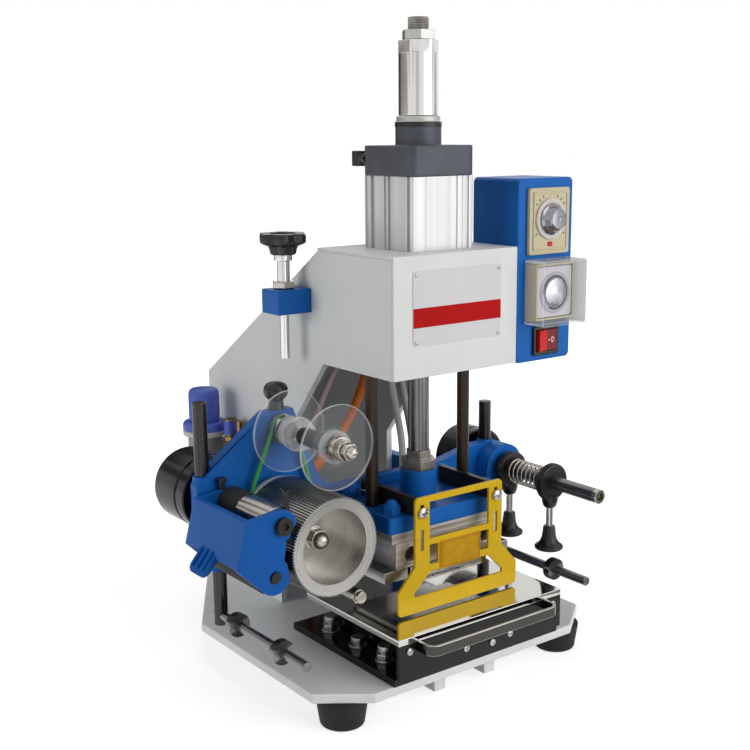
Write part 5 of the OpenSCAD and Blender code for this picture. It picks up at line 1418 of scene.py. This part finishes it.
@dataclass
class FoilFeed(SubAssembly):
    """The toothed roller, rewind spool, belt, nip bracket, rollers and the motors."""

    arm_back: float = 64.0
    feed_motor: Outline = (
        (8.5, 0), (8.5, 6), (30, 6), (34, 6.6), (35, 8), (35, 20), (33.6, 20.8), (33.6, 23.4), (35, 24.2),
        (35, 60), (34, 63), (30.6, 64.2), (30.2, 64.6), (30.2, 69.6), (29.4, 70.6), (22.6, 71.2),
        (22.2, 71.8), (22.2, 75.4), (21.2, 76.2), (2, 76.2))
    supply_motor: Outline = (
        (8.5, 0), (8.5, 6), (29, 6), (33, 6.6), (34, 8), (34, 18), (32.8, 18.8), (32.8, 21), (34, 21.8),
        (34, 40), (33, 42.4), (28, 43.2), (27, 43.6), (27, 47), (26, 48.2), (2, 48.2))
    belt_y: float = 45.0
    belt_radii: tuple[float, float] = (41.5, 11.7)
    belt_steps: int = 24
    disc: Outline = ((8.1, 0), (37.9, 0), (38.35, 0.5), (38.5, 1.5), (38.35, 2.5), (37.9, 3), (8.1, 3),
                     (8.1, 0))
    disc_rim: float = 37.8
    disc_ys: tuple[float, float] = (-41.5, 34.5)
    flange: Outline = (
        (8.1, 0), (18.6, 0), (19, 0.5), (18.4, 1.4), (15.6, 2.2), (14.6, 6.0), (14.6, 15.4), (14.2, 16),
        (12.8, 16), (12.4, 15.4), (12.4, 3), (8.1, 2.6), (8.1, 0))
    flange_y: float = -38.5
    spindle_end: float = -51.4
    spindle_collar: Outline = ((7.6, 0), (8.8, 0.3), (8.8, 2.0), (8.2, 2.6), (6.4, 2.7), (6.4, 3.8), (2, 3.8))
    spindle_dome: Outline = ((5.9, 9.0), (5.9, 10.6), (5.5, 12.4), (4.4, 13.9), (2.6, 14.8), (0.4, 15.1))
    sleeve_ys: tuple[float, float] = (-32.4, 12.4)
    hub_ys: tuple[float, float] = (-38.6, 34.6)
    teeth: int = 110
    roller: tuple[float, float] = (45.0, 43.8)
    bores: tuple[float, float] = (33.75, 8.1)
    pulley: Outline = (
        (8.1, 40.1), (44.6, 40.1), (44.9, 40.4), (44.9, 42.4), (39.4, 42.8), (39.2, 43.1), (39.2, 46.9),
        (39.4, 47.2), (43.5, 47.5), (43.5, 48.4), (43.2, 48.7), (8.1, 48.7), (8.1, 40.1))
    drive_sleeve: Outline = ((14.5, 0), (14.9, 0.4), (14.9, 29.6), (14.5, 30), (5, 30), (5, 0), (14.5, 0))
    drive_sleeve_y: float = 12.6
    cheek_screws: Outline = ((-176.0, -38.9), (-189.0, 46.4))
    cheek_top: float = 201.0
    tab_root: tuple[float, float, float] = (-224.0, 10.0, 160.8)
    tab_lean: float = 40.0
    tab_half: float = 3.0

    def motors(self) -> None:
        """Turns the two stepped motor shells."""
        for name, profile, (x, z), node in (("feed_motor", self.feed_motor, PIVOT, "drive_motors"),
                                            ("supply_motor", self.supply_motor, SUPPLY, "")):
            self.lathe(name, profile, Way.BACK, at(x, self.arm_back, z), "black_plastic", BLACK_GLOSS,
                       node=node, sides=64)

    def belt(self) -> None:
        """Runs the green round belt over both pulleys."""
        big, small = self.belt_radii
        gap = Vector((REWIND[0] - FEED[0], REWIND[1] - FEED[1]))
        turn, lean = math.atan2(gap.y, gap.x), math.acos((big - small) / gap.length)
        points = []
        for centre, radius, first, last in ((FEED, big, turn + lean, turn + 2 * math.pi - lean),
                                            (REWIND, small, turn - lean, turn + lean)):
            for k in range(self.belt_steps + 1):
                u, v = polar(radius, first + (last - first) * k / self.belt_steps)
                points.append(at(centre[0] + u, self.belt_y, centre[1] + v))
        belt = as_mesh(curved("round_belt", points, 2.0, closed=True))
        self.put(belt, "belt_rubber", GREEN_BELT, node="drive_belt")

    def spool(self) -> None:
        """Makes the clear discs and dresses the spindle between them."""
        x, z = REWIND
        spool = "rewind_spool"
        for name, y, node in zip(("front_disc", "rear_disc"), self.disc_ys, ("rewind_discs", "")):
            disc = self.lathe(name, self.disc, Way.BACK, at(x, y, z), "clear_plastic", ACRYLIC, node=node,
                              body=spool, sides=96)
            # the rim takes a whiter, more opaque acrylic as a painted highlight
            self.paint(disc, ACRYLIC_EDGE, lambda p, n: off_axis(p, REWIND) > self.disc_rim)
        tip = turned("nut_space", [(15, -70), (15, self.spindle_end)], Way.BACK, at(x, 0, z), 32)
        spindle = self.eased("rewind_shaft", NICKEL, 0.35, tool=tip)
        low, high = self.sleeve_ys
        front, rear = self.hub_ys
        self.paint(spindle, BLACK_OXIDE, lambda p, n: low < p.y < high)
        # the hubs take a whiter, more opaque acrylic as painted light
        self.paint(spindle, ACRYLIC_HUB, lambda p, n: off_axis(p, REWIND) > 8.4
                   and (front < p.y < low or high < p.y < rear))
        foot = at(x, self.spindle_end, z)
        slot = SLOTS["rewind_shaft"]
        self.lathe("spindle_collar", self.spindle_collar, Way.FRONT, foot, slot, NICKEL, 0.2, body=spool)
        nut = hex_nut("spindle_nut", 14.6, 5.4, Way.FRONT, at(x, self.spindle_end - 3.7, z))
        self.put(nut, slot, NICKEL, 0.4, body=spool)
        self.lathe("spindle_dome", self.spindle_dome, Way.FRONT, foot, slot, NICKEL, body=spool, sides=40)
        self.lathe("disc_flange", self.flange, Way.BACK, at(x, self.flange_y, z), "clear_plastic", ACRYLIC,
                   body=spool, sides=64)

    def rollers(self) -> None:
        """Dresses the toothed roller with its pulley and the two rollers in the bracket."""
        axis = at(FEED[0], 0, FEED[1])
        slot = SLOTS["feed_roller"]
        tip, valley = self.roller
        pitch = 2 * math.pi / self.teeth
        tooth = ((tip, 0.0), (tip, 0.3), (valley, 0.5), (valley, 0.8))
        points = [polar(radius, pitch * (i + part)) for i in range(self.teeth) for radius, part in tooth]
        roller = lofted("toothed_roller", points, [(0.985, -46), (1, -45.4), (1, 40.1)], Way.BACK, axis)
        hollow, shaft = self.bores
        mouth = [(hollow + 0.7, -50), (hollow + 0.7, -45.9), (hollow, -45.2), (hollow, -10)]
        carve(roller, turned("hollow", mouth, Way.BACK, axis, 96))
        carve(roller, turned("shaft_bore", [(shaft, -20), (shaft, 50)], Way.BACK, axis))
        self.put(roller, slot, TURNED_STEEL_Y, middle=axis, node="feed_roller", body="feed_roller")
        # the valleys and flanks between the teeth are darkened as painted shade
        self.paint(roller, TOOTH_SHADE, lambda p, n: 43 < off_axis(p, FEED) < tip - 0.2 and abs(n.y) < 0.5)
        self.paint(roller, FACED_STEEL_Y, lambda p, n: n.y < -0.6 and p.y < -45, axis)
        # the pulley's near-white flange is partly polish and partly a painted highlight along its rim
        self.lathe("feed_pulley", self.pulley, Way.BACK, axis, slot, FLANGE_STEEL, body="feed_roller",
                   sides=96)
        self.eased("feed_shaft", NICKEL, 0.5)
        drive = self.eased("drive_roller", NICKEL, 0.5)
        self.paint(drive, BLACK_OXIDE, lambda p, n: p.y < -41.9)
        self.lathe("drive_sleeve", self.drive_sleeve, Way.BACK, at(PIVOT[0], self.drive_sleeve_y, PIVOT[1]),
                   "nip_rubber", RUBBER, body="drive_roller")
        nip = self.eased("nip_roller", RUBBER, 0.6)
        self.paint(nip, BLACK_OXIDE, lambda p, n: p.y < -34.9)

    def bracket(self) -> None:
        """Dresses the bracket and adds the tab's ribs and the small screws."""
        bracket = "nip_bracket"
        # the bracket and its tab ribs take the darkened blue: painted shade
        self.eased("nip_bracket", SHADED_BLUE_ENAMEL, 1.0, 3)
        for k, (x, y) in enumerate(self.cheek_screws):
            nut = hex_nut(f"cheek_nut_{k}", 5.4, 4.8, Way.UP, at(x, y, self.cheek_top))
            self.put(nut, "dark_steel", BLACK_OXIDE, 0.2, body=bracket)
            tall = 8 - 6 * k
            head = ((2.6, 0.4), (3.9, 1), (3.9, 5), (3.2, 5.8), (1.6, 5.9), (1.5, 4.6), (0.3, 4.6))
            profile = [(1.8, 0), (1.8, tall), *((radius, tall + rise) for radius, rise in head)]
            self.lathe(f"cheek_screw_{k}", profile, Way.UP, at(x, y, self.cheek_top + 4.4), "dark_steel",
                       BLACK_OXIDE, body=bracket, sides=24)
        x, y, z = self.tab_root
        c, s = polar(1.0, math.radians(self.tab_lean))
        for k, side in enumerate((-8.0, 0.5, 9.0)):
            line = [at(x - reach * s - self.tab_half * c, y + side, z - reach * c + self.tab_half * s)
                    for reach in (-2.0, 2.0, 6.0, 10.0, 14.0, 17.0)]
            rib = as_mesh(curved(f"tab_rib_{k}", line, 1.9))
            self.put(rib, "blue_paint", SHADED_BLUE_ENAMEL, 0.8, body=bracket)

    def build(self) -> None:
        """Makes the feed's pieces."""
        self.motors()
        self.belt()
        self.spool()
        self.rollers()
        self.bracket()


@dataclass
class FoilSupply(SubAssembly):
    """The supply spindle with its knurled collars, brake spring and thumb screws."""

    body: str = "foil_supply"
    tip: float = -102.5
    end_ring: Outline = ((3.6, -0.2), (6.6, -0.2), (7.2, 0.5), (7.2, 4.6), (7.05, 5), (3.6, 5), (3.6, -0.2))
    end_centre: Outline = ((0.4, 0.6), (1.9, 0.8), (2.2, 1.6), (3.0, 2.4), (3.55, 2.6), (3.55, 6))
    collar_ys: tuple[float, float] = (-35.0, 24.0)
    collar_half: float = 6.0
    collar: Outline = ((0.4, 0), (0.9, 0), (0.97, 0.5), (1, 1.4), (1, 7.2), (0.97, 8), (0.85, 8.2),
                       (0.84, 11.4), (0.8, 12), (0.4, 12))
    boss: Outline = ((8.5, 14), (8.3, 19), (7.2, 24), (5.6, 26.5), (3, 26.8))
    stem: Outline = ((3.5, 20), (3.5, 46.6), (2, 47))
    thumb: Outline = (
        (4.2, 46.4), (5.6, 46.8), (6.2, 48), (7.4, 58), (8.8, 62.4), (11.4, 65.6), (14.0, 67.2), (14.6, 68.4),
        (14.5, 70), (13.4, 71), (4, 71))
    spring: tuple[float, float, int] = (12.0, 2.2, 7)
    turn_steps: int = 20

    def spindle(self) -> None:
        """Dresses the spindle and rings its end."""
        end = at(SUPPLY[0], self.tip, SUPPLY[1])
        self.eased("supply_shaft", DRAWN_STEEL_Y, 0.6)
        self.lathe("spindle_ring", self.end_ring, Way.BACK, end, "chrome_steel", CHROME, sides=40)
        self.lathe("spindle_centre", self.end_centre, Way.BACK, end, "fitting_brass", BRASS, sides=32)

    def brakes(self) -> None:
        """Models the knurled collars with their thumb screws."""
        x, z = SUPPLY
        for k, y in enumerate(self.collar_ys):
            spot = at(x, y, z)
            self.loft(f"knurled_collar_{k}", waved(19.2, 0.7, 44, 4), self.collar, Way.BACK,
                      at(x, y - self.collar_half, z), "black_plastic", BLACK_MOULD,
                      node="" if k else "supply_collars")
            self.lathe(f"collar_boss_{k}", self.boss, Way.DOWN, spot, "black_plastic", BLACK_MOULD, sides=32)
            self.lathe(f"thumb_stem_{k}", self.stem, Way.DOWN, spot, "chrome_steel", CHROME_Z, middle=spot,
                       node="" if k else "thumb_screws", sides=32)
            self.lathe(f"thumb_knob_{k}", self.thumb, Way.DOWN, spot, "black_plastic", BLACK_MOULD)

    def coil(self) -> None:
        """Winds the spring between the collars."""
        x, z = SUPPLY
        radius, wire, turns = self.spring
        low, high = self.collar_ys[0] + self.collar_half, self.collar_ys[1] - self.collar_half
        steps = self.turn_steps * turns
        pitch = (high - low - 2 * wire) / steps
        line = [at(x + radius, high, z)]
        for k in range(steps + 1):
            u, v = polar(radius, 2 * math.pi * k / self.turn_steps)
            line.append(at(x + u, high - wire - pitch * k, z + v))
        line.append(at(x + radius, low, z))
        spring = as_mesh(curved("brake_spring", line, wire / 2))
        self.put(spring, "chrome_steel", NICKEL, node="supply_spring")

    def build(self) -> None:
        """Makes the supply's pieces."""
        self.spindle()
        self.brakes()
        self.coil()


def main() -> None:
    """Builds the studio and every sub-assembly in order."""
    logging.basicConfig(level=logging.INFO, format="%(message)s")
    Studio().build()
    groups = (AirUnit("air unit"), MachineFrame("frame"), AirCylinder("air cylinder"),
              ControlBox("control box"), PressHead("press head"), SlidingTable("table"),
              FoilArm("foil arm"), FoilFeed("foil feed"), FoilSupply("foil supply"))
    for group in groups:
        group.build()
        LOG.info("%s: %d pieces", group.label, len(group.made))


if __name__ == "__main__":
    main()
